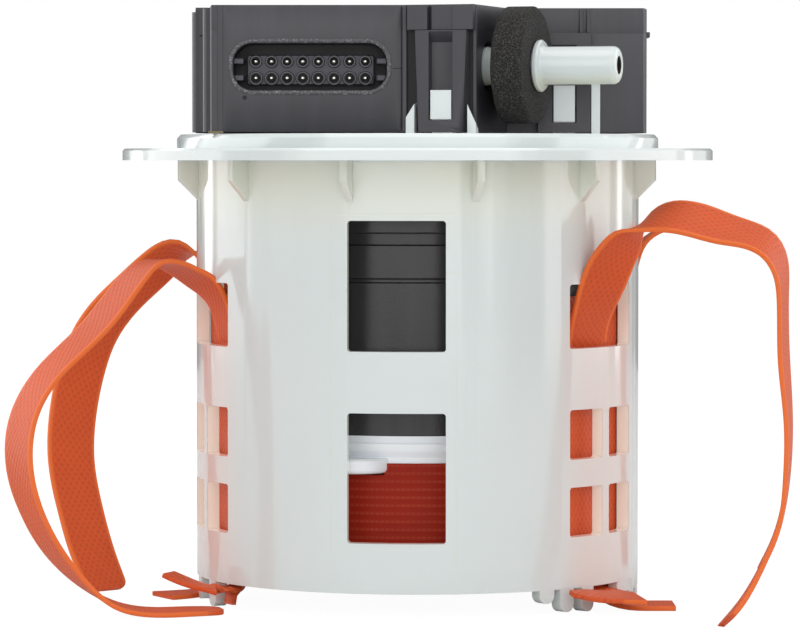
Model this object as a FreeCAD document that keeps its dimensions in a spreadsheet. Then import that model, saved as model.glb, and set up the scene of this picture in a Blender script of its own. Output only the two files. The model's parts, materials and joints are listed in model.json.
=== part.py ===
"""Diesel exhaust fluid pump: a supply module that hangs in a tank from its round flange.

Millimetres, +Z up. The origin is the centre of the flange's underside, where it meets the tank.
The front, with the electrical header, faces -Y, and the outlet spigot points to +X.
"""

import FreeCAD, Part
import math
import os
import re

import Sketcher
from FreeCAD import Placement, Rotation, Vector

SIZES = {
    # Flange and cage, one white moulding
    "rim_radius": 76.0,
    "rim_thickness": 3.0,
    "rim_rounding": 0.6,
    "disc_radius": 62.0,
    "disc_top": 6.6,
    "disc_rounding": 1.0,
    "cage_radius": 57.0,
    "cage_wall": 3.3,
    "cage_depth": 106.4,
    "gusset_reach": 62.1,
    "gusset_thickness": 1.8,
    "gusset_straight": 5.1,
    "gusset_depth": 10.2,
    "gusset_first": -80.0,
    "gusset_pitch": 31.5,
    "gusset_count": 11,
    "window_width": 24.3,
    "window_azimuth": -5.3,
    "window_corner": 0.8,
    "upper_window_top": 14.8,
    "upper_window_bottom": 46.9,
    "lower_window_top": 62.0,
    "lower_window_bottom": 94.0,
    "side_width": 28.5,
    "side_bar": 3.1,
    "strap_window_top": 30.8,
    "strap_window_bottom": 46.8,
    "side_row_height": 12.4,
    "side_row_pitch": 19.3,
    "foot_depth": 6.5,
    "foot_width": 4.5,
    "foot_round": 2.1,
    "post_width": 2.2,
    "post_top": 14.3,
    "wedge_width": 5.4,
    "wedge_low": 10.2,
    "wedge_high": 17.4,
    "side_wedge_low": 9.8,
    "side_wedge_high": 19.0,
    "side_post_top": 19.4,
    # Control unit
    "housing_gap": 0.4,
    "housing_wall": 2.2,
    "housing_floor": 2.2,
    "seam_height": 32.3,
    "lid_top": 38.7,
    "lid_thickness": 2.0,
    "drum_radius": 58.1,
    "drum_shift": 0.9,
    "drum_front": 13.0,
    "block_left": 51.4,
    "block_front": 34.8,
    "block_right": 5.0,
    "shoulder_left": 56.3,
    "shoulder_front": 17.0,
    "nose_x": 13.9,
    "nose_y": 40.6,
    "nose_length": 18.5,
    "nose_width": 30.0,
    "outlet_yaw": 18.0,
    "seal_height": 0.8,
    "seal_width": 1.2,
    "loop_width": 13.4,
    "loop_window": 6.2,
    "loop_stand_off": 2.6,
    "loop_from_left": 4.0,
    "loop_bar": 1.2,
    "loop_head": 3.0,
    "side_loop_x": 37.3,
    "fit_gap": 0.2,
    # Electrical header
    "header_x": 26.8,
    "header_z": 23.3,
    "header_width": 40.6,
    "header_height": 14.0,
    "header_wall": 1.3,
    "header_corner": 0.43,
    "header_depth": 12.6,
    "header_proud": 0.8,
    "header_back": 2.0,
    "pin_block_width": 32.0,
    "pin_block_height": 7.6,
    "pin_block_length": 3.4,
    "pin_radius": 0.6,
    "pin_length": 13.0,
    "pin_tip": 7.2,
    "pin_chamfer": 0.25,
    "pin_pitch": 3.92,
    "pin_drop": 0.65,
    "pin_row_gap": 4.2,
    "well_radius": 1.35,
    "well_depth": 2.6,
    # Circuit board
    "leads_y": 20.0,
    "lead_radius": 0.9,
    "lead_pitch": 2.4,
    "board_thickness": 1.6,
    "board_height": 14.5,
    "board_margin": 1.2,
    "capacitor_radius": 4.2,
    "capacitor_height": 10.0,
    "boss_radius": 3.0,
    "screw_radius": 1.25,
    "screw_head_radius": 2.6,
    "screw_head_height": 1.8,
    "screw_length": 4.6,
    # Outlet
    "spigot_z": 23.6,
    "spigot_x": 22.1,
    "spigot_y": -29.7,
    "spigot_inset": 12.0,
    "root_radius": 6.0,
    "stem_radius": 5.2,
    "collar_radius": 6.5,
    "collar_length": 1.6,
    "barrel_radius": 4.745,
    "barrel_length": 19.6,
    "barrel_chamfer": 1.2,
    "spigot_bore": 2.25,
    "hub_radius": 5.2,
    "hub_height": 6.4,
    "hub_web": 2.5,
    "pressure_sensor_radius": 3.6,
    "foam_radius": 14.65,
    "foam_thickness": 8.3,
    "soft_gap": 0.3,
    "tube_radius": 4.0,
    "tube_bore": 2.6,
    "ring_section": 0.8,
    # Pump pot and motor
    "pot_radius": 46.0,
    "pot_wall": 2.5,
    "pot_floor": 3.0,
    "pot_bottom": 68.3,
    "pot_band_top": 18.0,
    "pot_band_bottom": 21.0,
    "pot_band_depth": 0.8,
    "pot_groove_top": 29.3,
    "pot_groove_height": 1.0,
    "can_radius": 21.0,
    "can_wall": 1.2,
    "can_top": 8.0,
    "stator_height": 24.0,
    "stator_top": 15.0,
    "winding_height": 2.8,
    "winding_inset": 1.3,
    "air_gap": 0.5,
    "rotor_radius": 10.0,
    "rotor_overhang": 1.0,
    "shaft_radius": 2.0,
    "shaft_top": 9.6,
    "running_gap": 0.04,
    "bearing_radius": 4.0,
    "bearing_length": 4.0,
    "bearing_flange": 1.5,
    # Gear pump
    "pump_radius": 24.0,
    "pump_body_height": 12.0,
    "pump_cover_height": 3.3,
    "cover_web": 0.5,
    "gear_module": 1.0,
    "gear_teeth": 12,
    "gear_pressure_angle": 25.0,
    "gear_addendum": 0.9,
    "gear_dedendum": 1.2,
    "gear_width": 6.0,
    "gear_backlash": 0.12,
    "gear_face_gap": 0.05,
    "gear_tip_gap": 0.08,
    "driven_pin_radius": 1.5,
    "driven_pin_depth": 2.0,
    "shaft_seal_height": 1.4,
    "pump_screw_circle": 20.5,
    "outlet_boss_radius": 8.0,
    # Check valve
    "valve_chamber": 6.5,
    "seat_gap": 0.02,
    "valve_seat_height": 2.0,
    "valve_seat_bore": 1.8,
    "poppet_radius": 2.3,
    "poppet_head": 1.2,
    "poppet_stem": 0.9,
    "poppet_stem_length": 3.6,
    "spring_radius": 1.8,
    "spring_wire": 0.35,
    "spring_turns": 5,
    "spring_reach": 1.6,
    "gallery_radius": 1.5,
    "gallery_depth": 9.0,
    # Sump end
    "ring_radius": 46.6,
    "ring_height": 4.1,
    "ring_lip": 2.6,
    "ring_lip_radius": 45.0,
    "ring_bore": 40.0,
    "core_radius": 46.0,
    "core_wall": 2.5,
    "core_height": 28.7,
    "cap_radius": 9.0,
    "cap_x": -16.0,
    "cap_y": -40.0,
    "cap_height": 2.6,
    "base_radius": 47.5,
    "base_height": 2.0,
    "filter_radius": 34.0,
    "filter_bore": 27.0,
    "filter_pleats": 36,
    "filter_valley": 28.5,
    "filter_gap": 0.3,
    "suction_radius": 4.0,
    "suction_bore": 2.0,
    "suction_length": 24.0,
    "sensor_radius": 9.0,
    "sensor_height": 6.0,
    "sensor_x": -12.0,
    "sensor_y": -8.0,
    # Heater straps
    "strap_width": 14.0,
    "strap_thickness": 1.2,
    "flap_width": 29.0,
    "flap_top": 34.0,
    "flap_rise": 1.9,
}

FRONT_RIGHT, FRONT_LEFT = 56.0, -71.0
REAR_RIGHT, REAR_LEFT = 109.0, -124.0
# Chips on the board, each with its middle as shares of the drum's radius, and its length, width and height
CHIPS = ((-0.10, 0.17, 16, 16, 2.0), (0.38, 0.24, 9, 9, 1.8), (-0.58, 0.21, 12, 8, 3.0), (0.07, 0.62, 14, 7, 1.6))
# The capacitors' middles, as shares of the drum's radius
CAPACITORS = ((-0.50, 0.57), (-0.32, 0.57), (-0.14, 0.57))
SIDE_AZIMUTHS = (FRONT_RIGHT, FRONT_LEFT, REAR_RIGHT, REAR_LEFT)
FEET = ((-78.5, 0.9), (-66.0, 1.0), (34.3, 0.51), (40.8, 0.89), (48.4, 0.95), (73.0, 1.0), (81.0, 1.0),
        (133.0, 1.0), (-150.0, 1.0))

# The strap's width, the cage's radius and the depths of the sill, the cage and the floor that the straps'
# stations are written for
LOOP_WIDTH = 14.0
LOOP_CAGE_RADIUS = 57.0
LOOP_DEPTHS = (0.0, 46.8, 106.4, 112.9)

# Free ends of the straps: x, y, z, azimuth and tilt of the line across the strap, and its width
FRONT_RIGHT_LOOP = (
    (42.0, -28.6, -47.5, 56, 0, 14), (43.2, -32.3, -39.5, 49, 0, 14), (44.8, -34.1, -34.5, 46, 0, 14),
    (46.6, -36.4, -29.8, 44, 0, 14), (49.2, -37.8, -24.8, 48, 0, 14), (51.6, -38.6, -20.6, 58, 3, 14),
    (54.0, -39.1, -16.8, 66, 8, 14), (57.4, -39.5, -14.3, 67, 15, 14), (61.4, -40.0, -13.6, 65, 22, 14),
    (67.9, -40.5, -15.0, 64, 28, 14), (75.4, -41.4, -16.8, 64, 27, 14), (81.3, -42.3, -18.2, 66, 22, 14),
    (85.9, -43.5, -20.3, 69, 19, 14), (89.0, -45.0, -25.0, 73, 17, 14), (90.1, -46.5, -33.9, 77, 8, 14),
    (90.2, -49.8, -49.4, 77, 2, 14), (90.9, -53.5, -64.0, 80, 0, 14), (90.1, -58.3, -78.5, 82, -1, 14),
    (88.4, -60.8, -87.9, 84, -1, 14), (84.8, -63.3, -96.7, 84, -1, 14), (78.2, -67.6, -107.4, 85, -1, 14),
    (74.2, -70.4, -111.8, 85, -1, 14),
)
FRONT_LEFT_LOOP = (
    (-47.7, -16.5, -47.5, 108, 0, 14), (-49.0, -17.4, -42.0, 109, -12, 14), (-50.4, -18.2, -37.4, 110, -26, 14),
    (-53.0, -21.4, -34.2, 107, -25, 14), (-56.4, -23.2, -30.4, 107, -18, 14), (-59.6, -24.0, -27.6, 107, -13, 14),
    (-63.0, -24.6, -25.9, 109, -6, 14), (-66.0, -25.3, -25.6, 113, -1, 14), (-71.9, -28.0, -30.1, 122, 1, 14),
    (-81.0, -33.3, -42.0, 124, 2, 14), (-92.0, -39.0, -53.2, 122, 2, 14), (-97.4, -43.0, -62.8, 123, -3, 14),
    (-98.6, -46.5, -73.0, 121, -5, 14), (-95.8, -49.6, -85.0, 117, -6, 14), (-90.8, -49.0, -95.2, 113, -8, 14),
    (-83.4, -47.2, -104.2, 103, -8, 14), (-74.6, -45.6, -110.4, 94, -2, 14), (-65.8, -44.6, -112.1, 94, 0, 14),
    (-57.5, -43.0, -112.1, 98, 0, 14), (-48.8, -40.8, -112.1, 101, 0, 10),
)
REAR_LEFT_LOOP = (
    (-41.9, 28.2, -47.5, 56, 0, 14), (-45.0, 30.6, -39.8, 56, 0, 14), (-48.4, 32.4, -34.6, 57, 3, 14),
    (-52.0, 33.4, -28.9, 59, 6, 14), (-57.0, 34.0, -25.4, 62, 0, 14), (-63.8, 33.7, -24.8, 62, -20, 14),
    (-70.0, 32.6, -28.8, 62, -34, 14), (-77.3, 31.0, -35.6, 61, -35, 14), (-84.0, 28.5, -43.6, 51, -39, 14),
    (-88.4, 25.2, -53.5, 36, -37, 14), (-91.0, 20.6, -67.0, 32, -24, 14), (-91.0, 16.0, -79.5, 35, -8, 14),
    (-88.3, 12.0, -91.8, 38, -3, 14), (-84.8, 7.2, -102.4, 41, 0, 14), (-80.6, 2.8, -111.6, 46, 0, 14),
)
REAR_RIGHT_LOOP = (
    (47.6, 16.4, -47.5, 109, 0, 14), (50.6, 17.4, -40.5, 109, 0, 14), (53.0, 18.2, -35.2, 107, 0, 14),
    (55.2, 18.9, -30.2, 102, 0, 14), (57.0, 19.5, -25.6, 96, 0, 14), (59.6, 20.2, -21.4, 91, 0, 14),
    (63.8, 20.8, -18.6, 88, 0, 14), (70.0, 21.4, -17.2, 86, 0, 14), (78.0, 21.9, -17.4, 85, 0, 14),
    (86.0, 22.3, -19.8, 85, 0, 14), (92.0, 22.6, -24.8, 85, 0, 14), (95.4, 22.8, -33.0, 85, 0, 14),
    (96.4, 22.9, -45.0, 85, 0, 14), (97.7, 23.0, -62.0, 85, 0, 14), (98.0, 23.0, -76.0, 85, 0, 14),
    (97.1, 23.0, -90.0, 85, 0, 14), (94.2, 23.0, -101.0, 85, 0, 14), (90.6, 23.0, -108.4, 85, 0, 14),
)

# Short tails of the straps, hooked out under the cage between its feet
FRONT_RIGHT_TAILS = (
    ((42.4, -26.9, -103.5, 56, 0, 8), (43.6, -27.8, -107.2, 60, 0, 8), (46.6, -31.0, -108.2, 70, 0, 8),
     (49.0, -37.0, -108.4, 84, 0, 9)),
    ((38.2, -47.2, -107.2, 60, 2, 3), (41.4, -45.7, -107.7, 68, 3, 6), (46.5, -42.5, -108.4, 82, 3, 11),
     (51.5, -40.7, -108.8, 88, 3, 13), (55.4, -39.7, -109.1, 92, 3, 13)),
    ((44.8, -23.3, -103.5, 56, 0, 10), (46.0, -24.0, -108.0, 62, 0, 11), (49.2, -26.6, -110.9, 78, 0, 12),
     (53.5, -28.8, -112.0, 88, 0, 13), (58.5, -29.4, -112.1, 90, 0, 14), (64.6, -29.4, -112.1, 90, 0, 14)),
)
FRONT_LEFT_TAILS = (
    ((-44.2, -25.8, -103.5, 109, 0, 6), (-45.2, -26.6, -107.0, 120, 0, 6), (-47.0, -29.4, -108.0, 140, 0, 6),
     (-48.4, -33.6, -107.8, 175, 0, 6), (-52.4, -34.8, -107.2, 238, 0, 6), (-57.4, -31.8, -106.2, 240, 0, 6),
     (-62.8, -28.6, -104.3, 240, 0, 6)),
    ((-49.9, -9.4, -103.5, 109, 0, 8), (-51.4, -4.0, -108.4, 100, 0, 9), (-54.6, -1.0, -111.2, 94, 0, 11),
     (-59.6, -3.0, -112.0, 90, 0, 12), (-65.6, -6.4, -112.1, 80, 0, 13)),
    ((-44.9, -24.3, -103.5, 109, 0, 5), (-45.4, -25.2, -107.4, 116, 0, 5), (-46.9, -27.7, -109.4, 118, 0, 5),
     (-47.3, -28.2, -111.9, 118, 0, 5)),
)
REAR_LEFT_TAILS = (
    ((-41.6, 28.0, -103.5, 56, 0, 12), (-42.8, 28.8, -108.4, 56, 0, 12), (-46.4, 31.4, -111.6, 56, 0, 12),
     (-50.0, 34.0, -112.1, 56, 0, 12), (-54.0, 36.8, -112.1, 56, 0, 12)),
)
REAR_RIGHT_TAILS = (
    ((44.9, 23.9, -103.5, 109, 0, 9), (45.8, 24.7, -108.2, 109, 0, 9), (47.4, 27.6, -111.5, 120, 0, 9),
     (48.6, 32.6, -112.1, 165, 0, 9), (48.4, 38.0, -112.1, 184, 0, 8)),
)


def size(name):
    """A driving dimension, for the shapes that are worked out here."""
    return float(SHEET.get(name))


def bound(text):
    """An expression in which each size's name points at its cell."""
    def cell(word):
        return "Sizes." + word.group() if word.group() in SIZES else word.group()
    return re.sub(r"[a-z_]+", cell, str(text))


def bind(item, **values):
    """Tie properties of an object to expressions of the sizes."""
    for name, text in values.items():
        item.setExpression(name, bound(text))
    return item


def place(item, x=0, y=0, z=0):
    """Tie an object's position to expressions of the sizes."""
    for axis, text in (("x", x), ("y", y), ("z", z)):
        item.setExpression("Placement.Base." + axis, bound(text))
    return item


def cylinder(name, radius, height, x=0, y=0, z=0):
    """An upright cylinder that stands at x, y, z."""
    return place(bind(DOC.addObject("Part::Cylinder", name), Radius=radius, Height=height), x, y, z)


def box(name, length, width, height, x, y, z):
    """A box with its lowest corner at x, y, z."""
    item = DOC.addObject("Part::Box", name)
    return place(bind(item, Length=length, Width=width, Height=height), x, y, z)


def cut(name, base, tool):
    """One solid less another."""
    item = DOC.addObject("Part::Cut", name)
    item.Base = base
    item.Tool = tool
    return item


def fuse(name, pieces):
    """Several solids joined into one."""
    item = DOC.addObject("Part::MultiFuse", name)
    item.Shapes = pieces
    item.Refine = True
    return item


def common(name, pieces):
    """What several solids share."""
    item = DOC.addObject("Part::MultiCommon", name)
    item.Shapes = pieces
    return item


def feature(name, shape):
    """An object that holds a worked-out shape."""
    item = DOC.addObject("Part::Feature", name)
    item.Shape = shape
    return item


def finish(label, item):
    """Keep an object as the sub-part with this name."""
    item.Label = label
    PIECES.append(item)
    return item


def turned(label, profile, x=0, y=0, z=0, stand=None):
    """A turned piece: a closed profile of (radius, height) expressions, revolved about its own axis."""
    body = DOC.addObject("PartDesign::Body", "Body_" + label)
    plane = [p for p in body.Origin.OriginFeatures if p.Role == "XZ_Plane"][0]
    sketch = body.newObject("Sketcher::SketchObject", "Profile_" + label)
    sketch.AttachmentSupport = [(plane, "")]
    sketch.MapMode = "FlatFace"
    points = [(value(r), value(h)) for r, h in profile]
    count = len(points)
    for i in range(count):
        a, b = points[i], points[(i + 1) % count]
        sketch.addGeometry(Part.LineSegment(Vector(a[0], a[1], 0), Vector(b[0], b[1], 0)))
    for i in range(count):
        sketch.addConstraint(Sketcher.Constraint("Coincident", i, 2, (i + 1) % count, 1))
    for i, (radius, height) in enumerate(profile):
        hold(sketch, "DistanceX", i, radius, -2)
        hold(sketch, "DistanceY", i, height, -1)
    turn = body.newObject("PartDesign::Revolution", "Turned_" + label)
    turn.Profile = sketch
    turn.ReferenceAxis = (sketch, ["V_Axis"])
    turn.Angle = 360
    if stand is None:
        return place(body, x, y, z)
    body.Placement = stand
    return body


def hold(sketch, kind, point, text, axis):
    """Fix one coordinate of a profile's point, on an axis or at an expression's distance from it."""
    amount = value(text)
    if abs(amount) < 1e-9:
        sketch.addConstraint(Sketcher.Constraint("PointOnObject", point, 1, axis))
        return
    index = sketch.addConstraint(Sketcher.Constraint(kind, -1, 1, point, 1, amount))
    sketch.setExpression("Constraints[%d]" % index, bound(text))


def value(text):
    """The number that an expression of the sizes has now."""
    names = {name: size(name) for name in SIZES}
    total = 0.0
    for sign, term in re.findall(r"([+-]?)\s*([^+\-\s]+)", str(text).replace(" * ", "*")):
        product = 1.0
        for factor in term.split("*"):
            product *= names[factor] if factor in names else float(factor)
        total += -product if sign == "-" else product
    return total


def at_azimuth(radius, azimuth, height=0.0):
    """A point at an azimuth measured from the front towards the right."""
    angle = math.radians(azimuth)
    return Vector(radius * math.sin(angle), -radius * math.cos(angle), height)


def wall_window(azimuth, width, top, bottom):
    """A tool that cuts a window through the cage's wall, with rounded corners."""
    reach = size("cage_wall") * 3
    inner = size("cage_radius") - size("cage_wall") - reach / 2
    block = Part.makeBox(width, reach + size("cage_wall"), bottom - top, Vector(-width / 2, inner, -bottom))
    edges = [e for e in block.Edges if abs(e.tangentAt(e.FirstParameter).y) > 0.99]
    block = block.makeFillet(size("window_corner"), edges)
    block.rotate(Vector(0, 0, 0), Vector(0, 0, 1), 180 + azimuth)
    return block


def side_windows(azimuth):
    """The strap's window with two rows of two smaller windows under it."""
    tools = [wall_window(azimuth, size("side_width"), size("strap_window_top"), size("strap_window_bottom"))]
    small = (size("side_width") - size("side_bar")) / 2
    shift = math.degrees((small + size("side_bar")) / 2 / size("cage_radius"))
    for row in range(2):
        top = size("lower_window_top") + row * size("side_row_pitch")
        for side in (-1, 1):
            tools.append(wall_window(azimuth + side * shift, small, top, top + size("side_row_height")))
    return tools


def gusset(azimuth):
    """A rib under the flange that stands out of the cage's wall."""
    inner = size("cage_radius") - size("cage_wall") / 2
    reach, depth = size("gusset_reach"), size("gusset_depth")
    outline = [Vector(0, inner, 0.5), Vector(0, reach, 0.5), Vector(0, reach, -size("gusset_straight")),
               Vector(0, size("cage_radius"), -depth), Vector(0, inner, -depth)]
    rib = Part.Face(Part.makePolygon(outline + outline[:1])).extrude(Vector(size("gusset_thickness"), 0, 0))
    rib.translate(Vector(-size("gusset_thickness") / 2, 0, 0))
    rib.rotate(Vector(0, 0, 0), Vector(0, 0, 1), 180 + azimuth)
    return rib


def foot(azimuth, share):
    """A foot under the cage's wall with round corners, which a strap hooks on, and its share of the full depth."""
    outer = size("cage_radius") - size("running_gap")
    inner = size("cage_radius") - size("cage_wall") + size("running_gap")
    width = size("foot_width")
    top, low = 1 - size("cage_depth"), -size("cage_depth") - share * size("foot_depth")
    tab = Part.makeBox(width, outer, top - low, Vector(-width / 2, 0, low))
    corners = [edge for edge in tab.Edges if edge.BoundBox.ZMax < low + 0.1 and edge.BoundBox.YLength > width]
    tab = tab.makeFillet(size("foot_round"), corners)
    start = Vector(0, 0, low)
    ring = Part.makeCylinder(outer, -low, start).cut(Part.makeCylinder(inner, -low, start))
    tab = tab.common(ring)
    tab.rotate(Vector(0, 0, 0), Vector(0, 0, 1), 180 + azimuth)
    return tab


def nose_frame(along=0.0, back=0.0, height=0.0):
    """A placement on the control unit's turned nose: along its front face, then back from it."""
    yaw = math.radians(-size("outlet_yaw"))
    start = Vector(size("nose_x"), -size("nose_y"), 0)
    left = Vector(-math.cos(yaw), -math.sin(yaw), 0)
    behind = Vector(-math.sin(yaw), math.cos(yaw), 0)
    point = start + left * (size("nose_length") - along) + behind * back + Vector(0, 0, height)
    return Placement(point, Rotation(Vector(0, 0, 1), -size("outlet_yaw")))


def nose_block(along, back, length, width, low, high):
    """A box on the control unit's turned nose."""
    block = Part.makeBox(length, width, high - low)
    block.Placement = nose_frame(along, back, low)
    return block


def loop_middle():
    """How far along the nose's front face the middle of its snap loop stands."""
    return size("loop_from_left") + size("loop_width") / 2


def flange_cage():
    """The flange, its raised disc, the cage with its windows, ribs and feet, and the posts on top."""
    inner = "cage_radius - cage_wall"
    spin = turned("flange_turned", (
        (0, "cage_depth"), (inner, "cage_depth"), (inner, 0), ("cage_radius", 0), ("cage_radius", "cage_depth"),
        ("rim_radius", "cage_depth"), ("rim_radius", "cage_depth + rim_thickness - rim_rounding"),
        ("rim_radius - rim_rounding", "cage_depth + rim_thickness"),
        ("disc_radius", "cage_depth + rim_thickness"),
        ("disc_radius", "cage_depth + disc_top - disc_rounding"),
        ("disc_radius - disc_rounding", "cage_depth + disc_top"), (0, "cage_depth + disc_top")),
        z="0 - cage_depth")
    DOC.recompute()
    shape = spin.Shape.copy()
    added = [gusset(size("gusset_first") + i * size("gusset_pitch")) for i in range(int(size("gusset_count")))]
    added += [foot(azimuth, share) for azimuth, share in FEET]
    added += flange_posts()
    shape = shape.fuse(added)
    tools = []
    for azimuth in (size("window_azimuth"), size("window_azimuth") + 180):
        for level in ("upper", "lower"):
            top, bottom = size(level + "_window_top"), size(level + "_window_bottom")
            tools.append(wall_window(azimuth, size("window_width"), top, bottom))
    for azimuth in SIDE_AZIMUTHS:
        tools += side_windows(azimuth)
    hub = outlet_point()
    thick = size("disc_top")
    tools.append(Part.makeCylinder(size("tube_radius") + size("fit_gap"), 3 * thick, Vector(hub.x, hub.y, -thick)))
    tools.append(Part.makeCylinder(size("bearing_radius"), 3 * thick, Vector(0, size("leads_y"), -thick)))
    return finish("flange_cage", feature("Flange_cage", shape.cut(tools).removeSplitter()))


def flange_posts():
    """Wedges that the control unit's snap loops catch on, and the posts beside them."""
    base = size("disc_top") - size("disc_rounding")
    gap, wide = size("fit_gap"), size("wedge_width")
    stand = size("loop_stand_off")
    head, stem = stand - 2 * gap, stand - size("loop_bar") - 2 * gap
    middle = loop_middle()
    low, high = size("wedge_low"), size("wedge_high")
    shapes = [nose_block(middle - wide / 2, gap - stand, wide, head, low, high),
              nose_block(middle - wide / 2, -gap - stem, wide, stem, base, high)]
    beside = size("loop_width") / 2 + gap
    post = size("post_width")
    for along in (middle - beside - post, middle + beside):
        shapes.append(nose_block(along, gap - stand, post, head, base, size("post_top")))
    x = size("side_loop_x") - wide / 2
    y = -size("drum_front") - gap
    low, high = size("side_wedge_low"), size("side_wedge_high")
    shapes.append(Part.makeBox(wide, head, high - low, Vector(x, y - head, low)))
    shapes.append(Part.makeBox(wide, stem, high - base, Vector(x, y - stem, base)))
    x = size("side_loop_x") + beside
    shapes.append(Part.makeBox(post, head, size("side_post_top") - base, Vector(x, y - head, base)))
    return shapes


def outlet_point(inset=None, height=None):
    """A point on the outlet's axis, inset behind the foam ring's back face."""
    back = size("spigot_inset") if inset is None else inset
    yaw = math.radians(-size("outlet_yaw"))
    level = size("spigot_z") if height is None else height
    return Vector(size("spigot_x") - back * math.cos(yaw), size("spigot_y") - back * math.sin(yaw), level)


def plan(name, inset, low, tall):
    """The control unit's plan, drawn in by an inset, from a level up to a height above it."""
    drum = cylinder(name + "_drum", "drum_radius - (%s)" % inset, tall, "drum_shift", 0, low)
    front = box(name + "_front", "4 * drum_radius", "2 * drum_radius", tall, "0 - 2 * drum_radius",
                "%s - drum_front" % inset, low)
    rear = common(name + "_rear", [drum, front])
    left = box(name + "_left", "block_left + block_right - 2 * (%s)" % inset, "block_front", tall,
               "%s - block_left" % inset, "%s - block_front" % inset, low)
    shoulder = box(name + "_shoulder", "shoulder_left - 2 * (%s)" % inset, "shoulder_front", tall,
                   "%s - shoulder_left" % inset, "%s - shoulder_front" % inset, low)
    nose = DOC.addObject("Part::Box", name + "_nose")
    bind(nose, Length="nose_length - 2 * (%s)" % inset, Width="nose_width", Height=tall)
    step = value(inset)
    nose.Placement = nose_frame(step, step, value(low))
    return fuse(name, [rear, left, shoulder, nose])


def housing_low():
    """The height of the control unit's underside, as an expression."""
    return "disc_top + housing_gap"


def control_housing():
    """The open box of the control unit, with its header seat, spigot hole, bosses and snap loops."""
    outer = plan("Housing_outer", 0, housing_low(), "seam_height - disc_top - housing_gap")
    inner = plan("Housing_inner", "housing_wall", "disc_top + housing_gap + housing_floor", "seam_height")
    DOC.recompute()
    low = value(housing_low())
    shape = outer.Shape.cut(inner.Shape)
    wide, tall = size("header_width") + 2 * size("fit_gap"), size("header_height") + 2 * size("fit_gap")
    seat = rounded_bar(wide, tall, size("housing_wall") + 4)
    seat.translate(Vector(-size("header_x"), -size("block_front") - 2, size("header_z")))
    hole = Part.makeCylinder(size("root_radius") + size("fit_gap"), 14, outlet_point(), outlet_direction())
    tube = outlet_point(height=low - 1)
    passage = Part.makeCylinder(size("tube_radius") + size("fit_gap"), 5, tube)
    leads = Part.makeCylinder(size("bearing_radius"), 5, Vector(0, size("leads_y"), low - 1))
    bosses = []
    for point in board_screw_points():
        post = Part.makeCylinder(size("boss_radius"), size("board_height") - low, Vector(*point, low))
        depth = size("screw_length") + 1
        pilot = Part.makeCylinder(size("screw_radius"), depth, Vector(*point, size("board_height") - depth))
        bosses.append(post.cut(pilot))
    shape = shape.cut([seat, hole, passage, leads]).fuse(bosses + snap_loops())
    return finish("control_housing", feature("Control_housing", shape.removeSplitter()))


def snap_loops():
    """The two loops that hang over the flange's wedges, each with a window."""
    low, high = value(housing_low()), size("seam_height")
    stand, gap = size("loop_stand_off"), size("fit_gap")
    width, bar = size("loop_width"), size("loop_bar")
    wall = (width - size("loop_window")) / 2
    start = loop_middle() - width / 2
    loops = [nose_block(start, -stand, wall, stand, low, high),
             nose_block(start + width - wall, -stand, wall, stand, low, high),
             nose_block(start, -stand, width, stand, high - size("loop_head"), high),
             nose_block(start, -stand, width, bar, low, size("wedge_low") - gap)]
    x, y = size("side_loop_x") - width / 2, -size("drum_front") - stand
    for shift in (0, width - wall):
        loops.append(Part.makeBox(wall, stand, high - low, Vector(x + shift, y, low)))
    loops.append(Part.makeBox(width, stand, size("loop_head"), Vector(x, y, high - size("loop_head"))))
    loops.append(Part.makeBox(width, bar, size("side_wedge_low") - gap - low, Vector(x, y, low)))
    return loops


def outlet_direction():
    """The way that the outlet spigot points."""
    yaw = math.radians(-size("outlet_yaw"))
    return Vector(math.cos(yaw), math.sin(yaw), 0)


def board_screw_points():
    """Where the board's four screws stand."""
    reach = size("drum_radius") - size("housing_wall") - 2.5 * size("boss_radius")
    points = []
    for azimuth in (100, 150, 210, 258):
        point = at_azimuth(reach, azimuth)
        points.append((point.x + size("drum_shift"), point.y))
    return points


def rounded_bar(wide, tall, deep):
    """A bar along +Y with rounded corners, centred on X and Z."""
    bar = Part.makeBox(wide, deep, tall, Vector(-wide / 2, 0, -tall / 2))
    edges = [e for e in bar.Edges if abs(e.tangentAt(e.FirstParameter).y) > 0.99]
    return bar.makeFillet(size("header_corner") * tall, edges)


def control_cover():
    """The control unit's lid, with a shallow hollow under it."""
    outer = plan("Cover_outer", 0, "seam_height", "lid_top - seam_height")
    inner = plan("Cover_inner", "housing_wall", "seam_height - 1", "lid_top - lid_thickness - seam_height + 1")
    return finish("control_cover", cut("Control_cover", outer, inner))


def cover_seal():
    """The soft seal that runs round inside the lid's seam."""
    outer = plan("Seal_outer", "housing_wall", "seam_height - seal_height", "2 * seal_height")
    low = "seam_height - seal_height - 1"
    inner = plan("Seal_inner", "housing_wall + seal_width", low, "2 * seal_height + 2")
    return finish("cover_seal", cut("Cover_seal", outer, inner))


def connector_shroud():
    """The header's shroud with the block that its pins stand in."""
    wall = size("header_wall")
    wide, tall, deep = size("header_width"), size("header_height"), size("header_depth")
    shroud = rounded_bar(wide, tall, deep)
    hollow = rounded_bar(wide - 2 * wall, tall - 2 * wall, deep)
    hollow.translate(Vector(0, -size("header_back"), 0))
    shroud = shroud.cut(hollow)
    length = size("pin_block_length")
    block = Part.makeBox(size("pin_block_width"), length, size("pin_block_height"),
                         Vector(-size("pin_block_width") / 2, deep - size("header_back") - length,
                                -size("pin_block_height") / 2 - size("pin_drop")))
    shroud = shroud.fuse(block)
    wells = []
    inwards = Vector(0, 1, 0)
    for x, z in pin_offsets():
        mouth = Vector(x, deep - size("header_back") - length, z)
        wells.append(Part.makeCylinder(size("well_radius"), size("well_depth"), mouth, inwards))
        wells.append(Part.makeCylinder(size("pin_radius"), deep, mouth, inwards))
    shroud = shroud.cut(wells).removeSplitter()
    shroud.translate(header_origin())
    return finish("connector_shroud", feature("Connector_shroud", shroud))


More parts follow.
